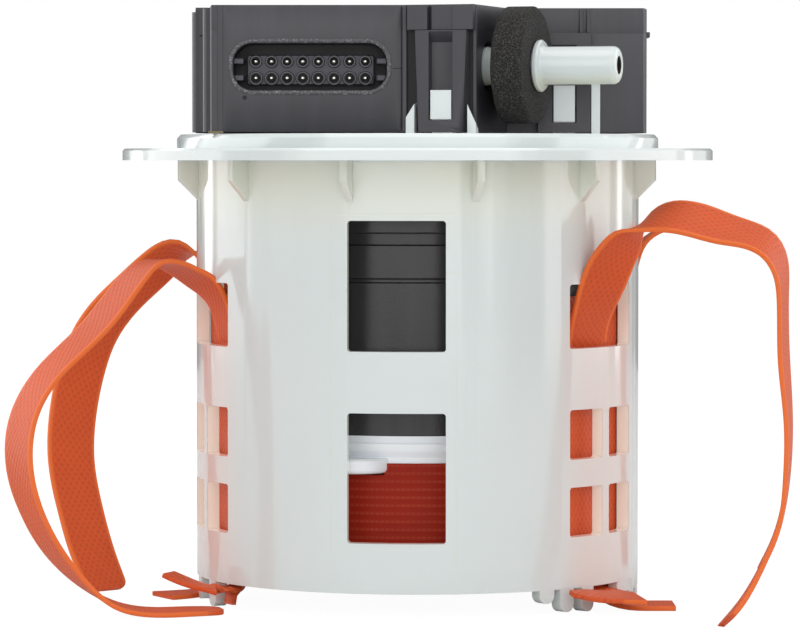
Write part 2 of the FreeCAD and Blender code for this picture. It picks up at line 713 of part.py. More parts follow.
def header_origin():
    """The middle of the header's mouth."""
    return Vector(-size("header_x"), -size("block_front") - size("header_proud"), size("header_z"))


def pin_offsets():
    """Two rows of eight pins, from the middle of the header and a little lower."""
    for row in (-1, 1):
        for column in range(8):
            yield (column - 3.5) * size("pin_pitch"), row * size("pin_row_gap") / 2 - size("pin_drop")


def connector_pins():
    """The sixteen blades of the header, rounded at the tip."""
    pins = []
    tip = size("pin_tip")
    for x, z in pin_offsets():
        pin = Part.makeCylinder(size("pin_radius"), size("pin_length"), Vector(x, tip, z), Vector(0, 1, 0))
        rim = [edge for edge in pin.Edges if abs(edge.BoundBox.YMax - tip) < 1e-6]
        pins.append(pin.makeChamfer(size("pin_chamfer"), rim))
    group = Part.makeCompound(pins)
    group.translate(header_origin())
    return finish("connector_pins", feature("Connector_pins", group))


def circuit_board():
    """The controller's circuit board on its bosses."""
    drum = cylinder("Board_drum", "drum_radius - housing_wall - board_margin", "board_thickness",
                    "drum_shift", 0, "board_height")
    keep = box("Board_keep", "4 * drum_radius", "2 * drum_radius", "board_thickness", "0 - 2 * drum_radius",
               "housing_wall + board_margin - drum_front", "board_height")
    board = common("Board_blank", [drum, keep])
    DOC.recompute()
    holes = [Part.makeCylinder(size("screw_radius") + size("fit_gap"), 10, Vector(x, y, size("board_height") - 5))
             for x, y in board_screw_points()]
    holes.append(Part.makeCylinder(size("hub_radius") + 2, 10, outlet_point(height=size("board_height") - 5)))
    return finish("circuit_board", feature("Circuit_board", board.Shape.cut(holes)))


def board_parts():
    """Chips and the capacitor bank that stand on the board."""
    top = size("board_height") + size("board_thickness")
    chips = []
    reach = size("drum_radius")
    for x, y, wide, deep, tall in CHIPS:
        chips.append(Part.makeBox(wide, deep, tall, Vector(x * reach - wide / 2, y * reach - deep / 2, top)))
    for x, y in CAPACITORS:
        at = Vector(x * reach, y * reach, top)
        chips.append(Part.makeCylinder(size("capacitor_radius"), size("capacitor_height"), at))
    return finish("board_components", feature("Board_components", Part.makeCompound(chips)))


def board_screws():
    """The board's four screws."""
    screws = []
    top = size("board_height") + size("board_thickness")
    radius, length = size("screw_radius") - size("running_gap"), size("screw_length") + size("board_thickness")
    for x, y in board_screw_points():
        head = Part.makeCylinder(size("screw_head_radius"), size("screw_head_height"), Vector(x, y, top))
        shank = Part.makeCylinder(radius, length, Vector(x, y, top - length))
        screws.append(head.fuse(shank))
    return finish("board_screws", feature("Board_screws", Part.makeCompound(screws)))


def outlet_spigot():
    """The white outlet fitting: a hub over the riser, a root in the housing's wall, and the spigot."""
    hub = outlet_point()
    way = outlet_direction()
    inset = size("spigot_inset")
    foam = size("foam_thickness")
    root = Part.makeCylinder(size("root_radius"), inset, hub, way)
    stem = Part.makeCylinder(size("stem_radius"), foam + 0.5, hub + way * inset, way)
    collar = Part.makeCylinder(size("collar_radius"), size("collar_length"), hub + way * (inset + foam), way)
    start = hub + way * (inset + foam + size("collar_length"))
    barrel = Part.makeCylinder(size("barrel_radius"), size("barrel_length"), start, way)
    mouth = start + way * size("barrel_length")
    ends = [edge for edge in barrel.Edges if edge.BoundBox.Center.distanceToPoint(mouth) < size("fit_gap")]
    barrel = barrel.makeChamfer(size("barrel_chamfer"), ends)
    half = size("hub_height")
    low = hub - Vector(0, 0, half)
    socket = Part.makeCylinder(size("hub_radius"), 2 * half, low)
    shape = socket.fuse([root, stem, collar, barrel])
    bore = Part.makeCylinder(size("spigot_bore"), hub.distanceToPoint(mouth) + half, hub, way)
    seat = Part.makeCylinder(size("tube_radius") + size("fit_gap") / 2, half - size("hub_web"), low)
    throat = Part.makeCylinder(size("spigot_bore"), half, low)
    shape = shape.cut([bore, seat, throat]).removeSplitter()
    return finish("outlet_spigot", feature("Outlet_spigot", shape))


def foam_ring():
    """The black foam ring round the spigot's stem."""
    back = outlet_point(inset=0.0) + outlet_direction() * (size("soft_gap") / 2)
    return finish("foam_ring", turned("foam_ring", (
        ("stem_radius + soft_gap", 0), ("foam_radius", 0), ("foam_radius", "foam_thickness - soft_gap"),
        ("stem_radius + soft_gap", "foam_thickness - soft_gap")),
        stand=Placement(back, Rotation(Vector(0, 0, 1), outlet_direction()))))


def outlet_tube():
    """The riser from the pump's check valve to the outlet hub."""
    low = pump_top() - size("valve_seat_height")
    top = size("spigot_z") - size("hub_web") - size("fit_gap")
    at = outlet_point(height=low)
    step = spring_base() + spring_length() + size("spring_wire") - low
    tube = Part.makeCylinder(size("tube_radius"), top - low, at)
    tube = tube.cut([Part.makeCylinder(size("valve_seat_bore"), top - low, at),
                     Part.makeCylinder(size("tube_bore"), step, at)])
    return finish("outlet_tube", feature("Outlet_tube", tube))


def valve_level():
    """The height of the check valve's seat."""
    return pump_top() - size("valve_chamber")


def spring_base():
    """The height of the middle of the valve spring's first turn."""
    return valve_level() + size("valve_seat_height") + size("seat_gap") + size("poppet_head") + size("spring_wire")


def spring_length():
    """The height of the valve's spring between the middles of its end turns."""
    return size("poppet_stem_length") + size("spring_reach")


def tube_o_ring():
    """The seal on the riser where it passes through the flange."""
    at = outlet_point(height=-size("ring_section"))
    ring = Part.makeTorus(size("tube_radius") + size("ring_section"), size("ring_section"), at)
    return finish("tube_o_ring", feature("Tube_o_ring", ring))


def pump_top():
    """The height of the pump body's top face."""
    return value("pot_floor + pump_cover_height + pump_body_height - pot_bottom")


def pump_pot():
    """The black pot that holds the motor and the pump, with a band and a groove round it."""
    bottom = "pot_bottom"
    outer, inner = "pot_radius", "pot_radius - pot_wall"
    groove = "pot_radius - pot_band_depth"
    body = turned("pot_turned", (
        (0, 0), (outer, 0), (outer, bottom + " - pot_groove_top - pot_groove_height"),
        (groove, bottom + " - pot_groove_top - pot_groove_height"), (groove, bottom + " - pot_groove_top"),
        (outer, bottom + " - pot_groove_top"), (outer, bottom + " - pot_band_bottom"),
        (groove, bottom + " - pot_band_bottom"), (groove, bottom + " - pot_band_top"),
        (outer, bottom + " - pot_band_top"), (outer, bottom), (inner, bottom), (inner, "pot_floor"),
        (0, "pot_floor")), z="0 - pot_bottom")
    DOC.recompute()
    x, y = inlet_point()
    hole = Part.makeCylinder(size("suction_bore"), 20, Vector(x, y, -size("pot_bottom") - 5))
    return finish("pump_pot", feature("Pump_pot", body.Shape.cut(hole)))


def inlet_point():
    """Where the pump draws in, beside the mesh of its gears."""
    return gear_distance() / 2, size("gear_module") * size("gear_teeth") / 2


def gear_distance():
    """The distance between the gears' axes."""
    return size("gear_module") * size("gear_teeth") + size("gear_backlash")


def motor_parts():
    """The motor's can, stator, windings and bearings."""
    seat = "pot_bottom - pot_floor - pump_cover_height - pump_body_height"
    inner = "can_radius - can_wall"
    tall = seat + " - can_top"
    finish("motor_can", turned("motor_can", (
        ("can_radius", 0), ("can_radius", tall), ("bearing_radius", tall), ("bearing_radius", tall + " - can_wall"),
        (inner, tall + " - can_wall"), (inner, 0)),
        z="pot_floor + pump_cover_height + pump_body_height - pot_bottom"))
    hollow = "rotor_radius + air_gap"
    finish("stator_core", turned("stator_core", (
        (hollow, 0), (inner, 0), (inner, "stator_height"), (hollow, "stator_height")),
        z="0 - stator_top - stator_height"))
    rings = []
    hollow, outside = "rotor_radius + 2 * winding_inset", inner + " - winding_inset"
    ends = (("Winding_low", "0 - stator_top - stator_height - winding_height"), ("Winding_high", "0 - stator_top"))
    for name, z in ends:
        rings.append(turned(name, (
            (hollow, 0), (outside, 0), (outside, "winding_height"), (hollow, "winding_height")), z=z))
    group = DOC.addObject("Part::Compound", "Windings")
    group.Links = rings
    finish("stator_windings", group)
    collar = "bearing_radius + bearing_flange"
    finish("upper_bearing", turned("upper_bearing", (
        ("shaft_radius + running_gap", 0), (collar, 0), (collar, "bearing_flange"),
        ("bearing_radius", "bearing_flange"), ("bearing_radius", "bearing_flange + can_wall"),
        ("shaft_radius + running_gap", "bearing_flange + can_wall")), z="0 - can_top - can_wall - bearing_flange"))
    finish("lower_bearing", turned("lower_bearing", (
        ("shaft_radius + running_gap", 0), ("bearing_radius", 0), ("bearing_radius", "bearing_length"),
        ("shaft_radius + running_gap", "bearing_length")),
        z="pot_floor + pump_cover_height + pump_body_height - bearing_length - pot_bottom"))


def rotor_parts():
    """The shaft, the rotor magnet and the pump's drive gear, which turn together."""
    foot_level = "pot_bottom - pot_floor - 1"
    finish("motor_shaft", turned("motor_shaft", (
        (0, 0), ("shaft_radius", 0), ("shaft_radius", foot_level + " - shaft_top"), (0, foot_level + " - shaft_top")),
        z="pot_floor + 1 - pot_bottom"))
    finish("rotor_magnet", turned("rotor_magnet", (
        ("shaft_radius", 0), ("rotor_radius", 0), ("rotor_radius", "stator_height + 2 * rotor_overhang"),
        ("shaft_radius", "stator_height + 2 * rotor_overhang")), z="0 - stator_top - stator_height - rotor_overhang"))


def gear_level():
    """The height of the gears' lower faces."""
    return value("pot_floor + pump_cover_height + gear_face_gap - pot_bottom")


def gear(label, x, bore, phase):
    """A spur gear with involute flanks and a bore."""
    module, teeth = size("gear_module"), int(size("gear_teeth"))
    pitch = module * teeth / 2
    base = pitch * math.cos(math.radians(size("gear_pressure_angle")))
    tip, root = pitch + size("gear_addendum") * module, pitch - size("gear_dedendum") * module
    half = math.pi / 2 / teeth - size("gear_backlash") / 2 / pitch + involute(math.acos(base / pitch))
    points = []
    for tooth in range(teeth):
        middle = math.radians(phase) + 2 * math.pi * tooth / teeth
        flank = []
        for step in range(6):
            radius = max(base, root) + (tip - max(base, root)) * step / 5
            flank.append((radius, half - involute(math.acos(min(1.0, base / radius)))))
        flank.insert(0, (root, flank[0][1]))
        for radius, angle in flank:
            points.append((radius, middle - angle))
        for radius, angle in reversed(flank):
            points.append((radius, middle + angle))
    corners = [Vector(r * math.cos(a), r * math.sin(a), 0) for r, a in points]
    blank = Part.Face(Part.makePolygon(corners + corners[:1])).extrude(Vector(0, 0, size("gear_width")))
    blank = blank.cut(Part.makeCylinder(bore, size("gear_width")))
    blank.translate(Vector(x, 0, gear_level()))
    return finish(label, feature(label.capitalize(), blank))


def involute(angle):
    """The involute function of an angle in radians."""
    return math.tan(angle) - angle


def pump_housing():
    """The gear pump's body with its gear chamber and valve boss, and the cover under it."""
    top, radius = pump_top(), size("pump_radius")
    tall = size("pump_body_height")
    hub = outlet_point(height=top - tall)
    body = Part.makeCylinder(radius, tall, Vector(0, 0, top - tall))
    boss = Part.makeCylinder(size("outlet_boss_radius"), tall, hub)
    depth = size("gear_width") + 2 * size("gear_face_gap")
    tip = size("gear_module") * (size("gear_teeth") / 2 + size("gear_addendum")) + size("gear_tip_gap")
    tools = [Part.makeCylinder(tip, depth, Vector(x, 0, top - tall)) for x in (0, gear_distance())]
    tools.append(Part.makeCylinder(size("shaft_radius") + 2 * size("running_gap"), tall, Vector(0, 0, top - tall)))
    bearing = size("bearing_length")
    tools.append(Part.makeCylinder(size("bearing_radius"), bearing, Vector(0, 0, top - bearing)))
    pin, pin_depth = size("driven_pin_radius"), size("driven_pin_depth")
    tools.append(Part.makeCylinder(pin, depth + pin_depth, Vector(gear_distance(), 0, top - tall)))
    tools += valve_tools(hub)
    for x, y in pump_screw_points():
        tools.append(Part.makeCylinder(size("screw_radius"), size("screw_length") + 1, Vector(x, y, top - tall)))
    body = body.fuse(boss).cut(tools).removeSplitter()
    finish("pump_body", feature("Pump_body", body))
    thick = size("pump_cover_height")
    low = top - tall - thick
    cover = Part.makeCylinder(radius, thick, Vector(0, 0, low))
    x, y = inlet_point()
    running, web = size("shaft_radius") + size("running_gap"), size("cover_web")
    tools = [Part.makeCylinder(size("suction_bore"), thick, Vector(x, y, low)),
             Part.makeCylinder(running, thick, Vector(0, 0, low + web)),
             Part.makeCylinder(pin, pin_depth, Vector(gear_distance(), 0, top - tall - pin_depth))]
    for x, y in pump_screw_points():
        tools.append(Part.makeCylinder(size("screw_radius"), thick, Vector(x, y, low)))
        tools.append(Part.makeCylinder(size("screw_head_radius"), size("screw_head_height"), Vector(x, y, low)))
    finish("pump_cover", feature("Pump_cover", cover.cut(tools).removeSplitter()))


def valve_tools(hub):
    """The chamber of the check valve and the gallery that feeds it from the gears."""
    level = pump_top() - size("gallery_depth")
    end = Vector(hub.x, hub.y, level)
    start = Vector(gear_distance() / 2, -inlet_point()[1], level)
    chamber = Part.makeCylinder(size("tube_radius"), size("valve_chamber"), Vector(hub.x, hub.y, valve_level()))
    feed = Part.makeCylinder(size("valve_seat_bore"), valve_level() - level, end)
    gallery = Part.makeCylinder(size("gallery_radius"), (end - start).Length, start, end - start)
    return [chamber, feed, gallery]


def pump_screw_points():
    """Where the pump cover's four screws stand."""
    circle = size("pump_screw_circle")
    return [(circle * math.cos(math.radians(a)), circle * math.sin(math.radians(a))) for a in (45, 135, 225, 315)]


def pump_screws():
    """The pump cover's four screws, driven from below."""
    gap = size("running_gap")
    level = pump_top() - size("pump_body_height") - size("pump_cover_height") + gap
    head_height = size("screw_head_height") - gap
    length = size("pump_cover_height") - size("screw_head_height") + size("screw_length")
    screws = []
    for x, y in pump_screw_points():
        head = Part.makeCylinder(size("screw_head_radius") - gap, head_height, Vector(x, y, level))
        shank = Part.makeCylinder(size("screw_radius") - gap, length, Vector(x, y, level + head_height))
        screws.append(head.fuse(shank))
    return finish("pump_screws", feature("Pump_screws", Part.makeCompound(screws)))


def driven_gear_pin():
    """The fixed pin that the driven gear turns on."""
    depth = size("driven_pin_depth") - 2 * size("gear_face_gap")
    level = gear_level() - size("gear_face_gap") - depth
    tall = size("gear_width") + 2 * size("gear_face_gap") + 2 * depth
    pin = Part.makeCylinder(size("driven_pin_radius") - size("seat_gap"), tall, Vector(gear_distance(), 0, level))
    return finish("driven_gear_pin", feature("Driven_gear_pin", pin))


def shaft_seal():
    """The lip seal round the shaft above the pump."""
    level = pump_top()
    outer = size("bearing_radius") + size("bearing_flange")
    seal = Part.makeCylinder(outer, size("shaft_seal_height"), Vector(0, 0, level))
    seal = seal.cut(Part.makeCylinder(size("shaft_radius") + size("running_gap"), 5, Vector(0, 0, level - 1)))
    return finish("shaft_seal", feature("Shaft_seal", seal))


def check_valve():
    """The check valve at the foot of the riser: seat, poppet and spring."""
    at = outlet_point(height=valve_level())
    seat = Part.makeCylinder(size("tube_radius") - size("seat_gap"), size("valve_seat_height"), at)
    seat = seat.cut(Part.makeCylinder(size("valve_seat_bore"), size("valve_seat_height"), at))
    finish("check_valve_seat", feature("Check_valve_seat", seat))
    at = at + Vector(0, 0, size("valve_seat_height") + size("seat_gap"))
    head = Part.makeCylinder(size("poppet_radius"), size("poppet_head"), at)
    stem = Part.makeCylinder(size("poppet_stem"), size("poppet_stem_length"), at + Vector(0, 0, size("poppet_head")))
    finish("check_valve_poppet", feature("Check_valve_poppet", head.fuse(stem).removeSplitter()))
    length = spring_length()
    path = Part.makeHelix(length / size("spring_turns"), length, size("spring_radius"))
    ring = Part.Wire(Part.makeCircle(size("spring_wire"), Vector(size("spring_radius"), 0, 0), Vector(0, 1, 0)))
    coil = Part.Wire(path).makePipeShell([ring], True, True)
    coil.translate(outlet_point(height=spring_base()))
    finish("check_valve_spring", feature("Check_valve_spring", coil))


def sump_parts():
    """The ring under the pot, the heater core, the filter and what stands with them."""
    ring_low = "0 - pot_bottom - ring_height - ring_lip"
    finish("core_ring", turned("core_ring", (
        ("ring_bore", 0), ("ring_lip_radius", 0), ("ring_lip_radius", "ring_lip"), ("ring_radius", "ring_lip"),
        ("ring_radius", "ring_lip + ring_height"), ("ring_bore", "ring_lip + ring_height")), z=ring_low))
    core = turned("core_turned", (
        ("core_radius - core_wall", 0), ("core_radius", 0), ("core_radius", "core_height"),
        ("core_radius - core_wall", "core_height")), z="0 - pot_bottom - ring_height - ring_lip - core_height")
    DOC.recompute()
    low = value("pot_bottom + ring_height + ring_lip")
    deep = size("cap_height") + size("soft_gap")
    notch = Part.makeCylinder(size("cap_radius") + size("soft_gap"), deep,
                              Vector(size("cap_x"), size("cap_y"), -low - deep))
    finish("heater_core", feature("Heater_core", core.Shape.cut(notch)))
    cap = cylinder("Sensor_cap", "cap_radius", "cap_height", "cap_x", "cap_y",
                   "0 - pot_bottom - ring_height - ring_lip - cap_height")
    finish("sensor_cap", cap)
    base = "0 - pot_bottom - ring_height - ring_lip - core_height - base_height"
    finish("base_plate", cylinder("Base_plate", "base_radius", "base_height", 0, 0, base))
    floor = value("pot_bottom + ring_height + ring_lip + core_height")
    finish("inlet_filter", feature("Inlet_filter", filter_shape(-floor)))
    x, y = inlet_point()
    length = size("suction_length")
    mouth = Vector(x, y, -size("pot_bottom") - length)
    tube = Part.makeCylinder(size("suction_radius"), length, mouth)
    tube = tube.cut(Part.makeCylinder(size("suction_bore"), length, mouth))
    finish("suction_tube", feature("Suction_tube", tube))
    foot_point = Vector(size("sensor_x"), size("sensor_y"), -floor)
    puck = Part.makeCylinder(size("sensor_radius"), size("sensor_height"), foot_point)
    finish("level_sensor", feature("Level_sensor", puck))


def filter_shape(level):
    """The pleated inlet filter, a star-shaped ring on the base plate."""
    pleats = int(size("filter_pleats"))
    crest, valley = size("filter_radius"), size("filter_valley")
    height = value("core_height - filter_gap")
    points = []
    for i in range(2 * pleats):
        radius = crest if i % 2 == 0 else valley
        angle = math.pi * i / pleats
        points.append(Vector(radius * math.cos(angle), radius * math.sin(angle), level))
    star = Part.Face(Part.makePolygon(points + points[:1])).extrude(Vector(0, 0, height))
    return star.cut(Part.makeCylinder(size("filter_bore"), height, Vector(0, 0, level)))


def pressure_sensor():
    """The pressure sensor that stands on the outlet hub."""
    hub = outlet_point(height=size("spigot_z") + size("hub_height"))
    tall = size("lid_top") - size("lid_thickness") - 2 * size("fit_gap") - hub.z
    body = Part.makeCylinder(size("pressure_sensor_radius"), tall, hub)
    return finish("pressure_sensor", feature("Pressure_sensor", body))


def motor_leads():
    """The three motor leads that rise through the flange to the board."""
    low, high = -size("can_top"), size("board_height")
    leads = []
    for place_in_row in (-1, 0, 1):
        foot_point = Vector(place_in_row * size("lead_pitch"), size("leads_y"), low)
        leads.append(Part.makeCylinder(size("lead_radius"), high - low, foot_point))
    return finish("motor_leads", feature("Motor_leads", Part.makeCompound(leads)))


def depth_now(depth):
    """Where a depth that a station is written with lies now, between the sill, the cage's end and the floor."""
    cage, sill = size("cage_depth"), size("strap_window_bottom")
    now = (0.0, sill, cage, cage + size("foot_depth"))
    span = 1
    while span < len(LOOP_DEPTHS) - 1 and depth > LOOP_DEPTHS[span]:
        span += 1
    share = (depth - LOOP_DEPTHS[span - 1]) / (LOOP_DEPTHS[span] - LOOP_DEPTHS[span - 1])
    return now[span - 1] + share * (now[span] - now[span - 1])


def ribbon(stations):
    """A strap's solid through its stations: flat sections joined by straight rulings."""
    wider = size("cage_radius") / LOOP_CAGE_RADIUS
    centres = [Vector(row[0] * wider, row[1] * wider, -depth_now(-row[2])) for row in stations]
    thick = size("strap_thickness")
    scale = size("strap_width") / LOOP_WIDTH
    wires = []
    for i, row in enumerate(stations):
        before, after = centres[max(i - 1, 0)], centres[min(i + 1, len(centres) - 1)]
        along = (after - before).normalize()
        turn, tilt = math.radians(row[3]), math.radians(row[4])
        across = Vector(math.cos(turn) * math.cos(tilt), math.sin(turn) * math.cos(tilt), math.sin(tilt))
        across = (across - along * across.dot(along)).normalize()
        up = along.cross(across)
        half = across * (row[5] * scale / 2)
        face = up * (thick / 2)
        middle = centres[i]
        corners = [middle + half + face, middle - half + face, middle - half - face, middle + half - face]
        wires.append(Part.makePolygon(corners + corners[:1]))
    return Part.makeLoft(wires, True, True)


def flap_distance():
    """How far from the axis a strap's flap lies, so that its edges clear the cage's wall."""
    reach = size("cage_radius") - size("cage_wall") - size("soft_gap")
    return math.sqrt(reach ** 2 - (size("flap_width") / 2) ** 2) - size("strap_thickness") / 2


def heater_strap(label, azimuth, loop, tails):
    """A heater strap: a wide flap behind the side windows, its free end and its hooked tails."""
    wide, thick = size("flap_width"), size("strap_thickness")
    top, bottom = size("flap_top"), size("cage_depth") - size("flap_rise")
    flap = Part.makeBox(wide, thick, bottom - top, Vector(-wide / 2, flap_distance() - thick / 2, -bottom))
    flap.rotate(Vector(0, 0, 0), Vector(0, 0, 1), 180 + azimuth)
    strap = flap.fuse([ribbon(loop)] + [ribbon(tail) for tail in tails])
    return finish(label, feature(label.capitalize(), strap.removeSplitter()))


def check(items):
    """Stop if any object failed or any sub-part has no valid shape."""
    for item in DOC.Objects:
        if {"Invalid", "Error"} & set(item.State):
            raise RuntimeError("failed object: " + item.Name)
    for item in items:
        if item.Shape.isNull() or not item.Shape.isValid() or not item.Shape.Solids:
            raise RuntimeError("bad shape: " + item.Label)


def write(items):
    """Write each sub-part to its own STEP file."""
    os.makedirs("parts", exist_ok=True)
    for item in items:
        item.Shape.exportStep("parts/%s.step" % item.Label)


DOC = FreeCAD.newDocument("Fluid_pump")
SHEET = DOC.addObject("Spreadsheet::Sheet", "Sizes")
for row, (name, number) in enumerate(SIZES.items(), 1):
    SHEET.set("A%d" % row, name)
    SHEET.set("B%d" % row, str(number))
    SHEET.setAlias("B%d" % row, name)
DOC.recompute()
PIECES = []

flange_cage()
control_housing()
control_cover()
cover_seal()
connector_shroud()
connector_pins()
circuit_board()
board_parts()
board_screws()
outlet_spigot()
foam_ring()
outlet_tube()
tube_o_ring()
pump_pot()
motor_parts()
rotor_parts()
gear("drive_gear", 0, size("shaft_radius"), 0)
gear("driven_gear", gear_distance(), size("driven_pin_radius") + size("running_gap"), 180 / size("gear_teeth"))
pump_housing()
pump_screws()
driven_gear_pin()
shaft_seal()
check_valve()
sump_parts()
pressure_sensor()
motor_leads()
heater_strap("heater_strap_front_right", FRONT_RIGHT, FRONT_RIGHT_LOOP, FRONT_RIGHT_TAILS)
heater_strap("heater_strap_front_left", FRONT_LEFT, FRONT_LEFT_LOOP, FRONT_LEFT_TAILS)
heater_strap("heater_strap_rear_left", REAR_LEFT, REAR_LEFT_LOOP, REAR_LEFT_TAILS)
heater_strap("heater_strap_rear_right", REAR_RIGHT, REAR_RIGHT_LOOP, REAR_RIGHT_TAILS)
DOC.recompute()
check(PIECES)
write(PIECES)
print(len(PIECES), "sub-parts")
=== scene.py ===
"""Looks of a diesel exhaust fluid pump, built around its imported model. Metres, +Z up, the front faces -Y."""

from __future__ import annotations

import json
import logging
import math
from dataclasses import dataclass
from enum import Enum
from typing import Callable, Sequence

import bmesh
import bpy
import numpy as np
from mathutils import Matrix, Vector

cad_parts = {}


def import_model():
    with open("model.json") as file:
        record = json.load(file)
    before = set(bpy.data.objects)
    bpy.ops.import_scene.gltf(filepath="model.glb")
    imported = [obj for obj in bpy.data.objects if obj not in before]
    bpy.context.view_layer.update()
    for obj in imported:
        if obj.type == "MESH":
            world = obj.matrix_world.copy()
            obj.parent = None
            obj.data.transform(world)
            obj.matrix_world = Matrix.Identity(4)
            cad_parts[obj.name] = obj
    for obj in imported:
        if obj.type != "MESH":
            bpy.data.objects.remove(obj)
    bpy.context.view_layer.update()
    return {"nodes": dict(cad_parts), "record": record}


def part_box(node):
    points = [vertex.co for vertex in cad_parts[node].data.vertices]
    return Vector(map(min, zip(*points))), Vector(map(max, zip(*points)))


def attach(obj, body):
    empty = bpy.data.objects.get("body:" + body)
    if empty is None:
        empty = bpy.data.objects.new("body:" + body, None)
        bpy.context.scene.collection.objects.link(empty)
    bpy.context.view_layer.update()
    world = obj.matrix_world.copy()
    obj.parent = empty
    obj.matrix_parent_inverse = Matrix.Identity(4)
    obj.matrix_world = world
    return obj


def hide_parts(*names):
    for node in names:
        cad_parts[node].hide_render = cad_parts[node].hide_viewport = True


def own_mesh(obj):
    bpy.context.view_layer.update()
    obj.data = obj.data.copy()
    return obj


MM = 0.001
LOG = logging.getLogger("fluid_pump")
Node, Object, Socket = bpy.types.Node, bpy.types.Object, bpy.types.NodeSocket
Colour = tuple[float, float, float]
Point = tuple[float, float, float]
Station = tuple[float, float, float, float, float, float]
Outline = Sequence[tuple[float, float]]

# Millimetres across and along a strap that make one unit of its strip layer
STRIP_SCALE = 100.0
# Where a strap's flap starts along the strip in millimetres, past the end of every loop
FLAP_START = 1000.0
# How far the check valve's poppet lifts
FINE_EDGE, SOFT_EDGE, BROAD_EDGE = 0.15 * MM, 0.3 * MM, 0.5 * MM
FIRM_ANGLE, EDGE_ANGLE, MID_ANGLE, SOFT_ANGLE, DOME_ANGLE = 30.0, 35.0, 40.0, 50.0, 60.0
# Points nearer than this are one point, in meshes made here and in copies of CAD nodes
OWN_MERGE, COPY_MERGE = 0.002 * MM, 0.004 * MM
# Faces of a copied node that turn less than this are joined, in degrees
FLAT_ANGLE = 0.4
# Azimuths of the straps, in degrees from the front towards the right
FRONT_RIGHT, FRONT_LEFT, REAR_RIGHT, REAR_LEFT = 56.0, -71.0, 109.0, -124.0


def overload(operation: str) -> Callable[..., Value]:
    """Args: operation: a Math node's operation. Returns: a method of Value that calculates with such a node."""
    return lambda value, *others: value.math(operation, *others)


class Value:
    """A number in a shader, which adds a Math node wherever it is calculated with."""

    def __init__(self, paint: Paint, socket: Socket) -> None:
        """Args: paint: the material's nodes. socket: the output that carries the number."""
        self.paint = paint
        self.socket = socket

    def math(self, operation: str, *others: Value | float) -> Value:
        """Args: operation: a Math node's operation. others: its other operands. Returns: the result."""
        return Value(self.paint, self.paint.node("Math", {"operation": operation}, (self, *others)).outputs[0])

    __add__ = __radd__ = overload("ADD")
    __sub__ = overload("SUBTRACT")
    __mul__ = __rmul__ = overload("MULTIPLY")
    __abs__ = overload("ABSOLUTE")
    sine = overload("SINE")

    def __rsub__(self, other: float) -> Value:
        """Args: other: what this number is taken from. Returns: the difference."""
        return (self * -1.0) + other

    def below(self, limit: float, soft: float) -> Value:
        """A soft step.

        Args: limit: where the step is halfway. soft: half its width.
        Returns: 1 under the limit and 0 over it, with a smooth change between.
        """
        settings = {"interpolation_type": "SMOOTHSTEP"}
        inputs = {"Value": self, "From Min": limit - soft, "From Max": limit + soft, "To Min": 1.0, "To Max": 0.0}
        return Value(self.paint, self.paint.node("MapRange", settings, inputs).outputs[0])

    def above(self, limit: float, soft: float) -> Value:
        """Args: limit: where the step is halfway. soft: half its width. Returns: 0 under it and 1 over it."""
        return 1.0 - self.below(limit, soft)

    def between(self, low: float, high: float, soft: float) -> Value:
        """Args: low, high: the ends of a band. soft: half the width of its edges. Returns: 1 inside it."""
        return self.above(low, soft) * self.below(high, soft)


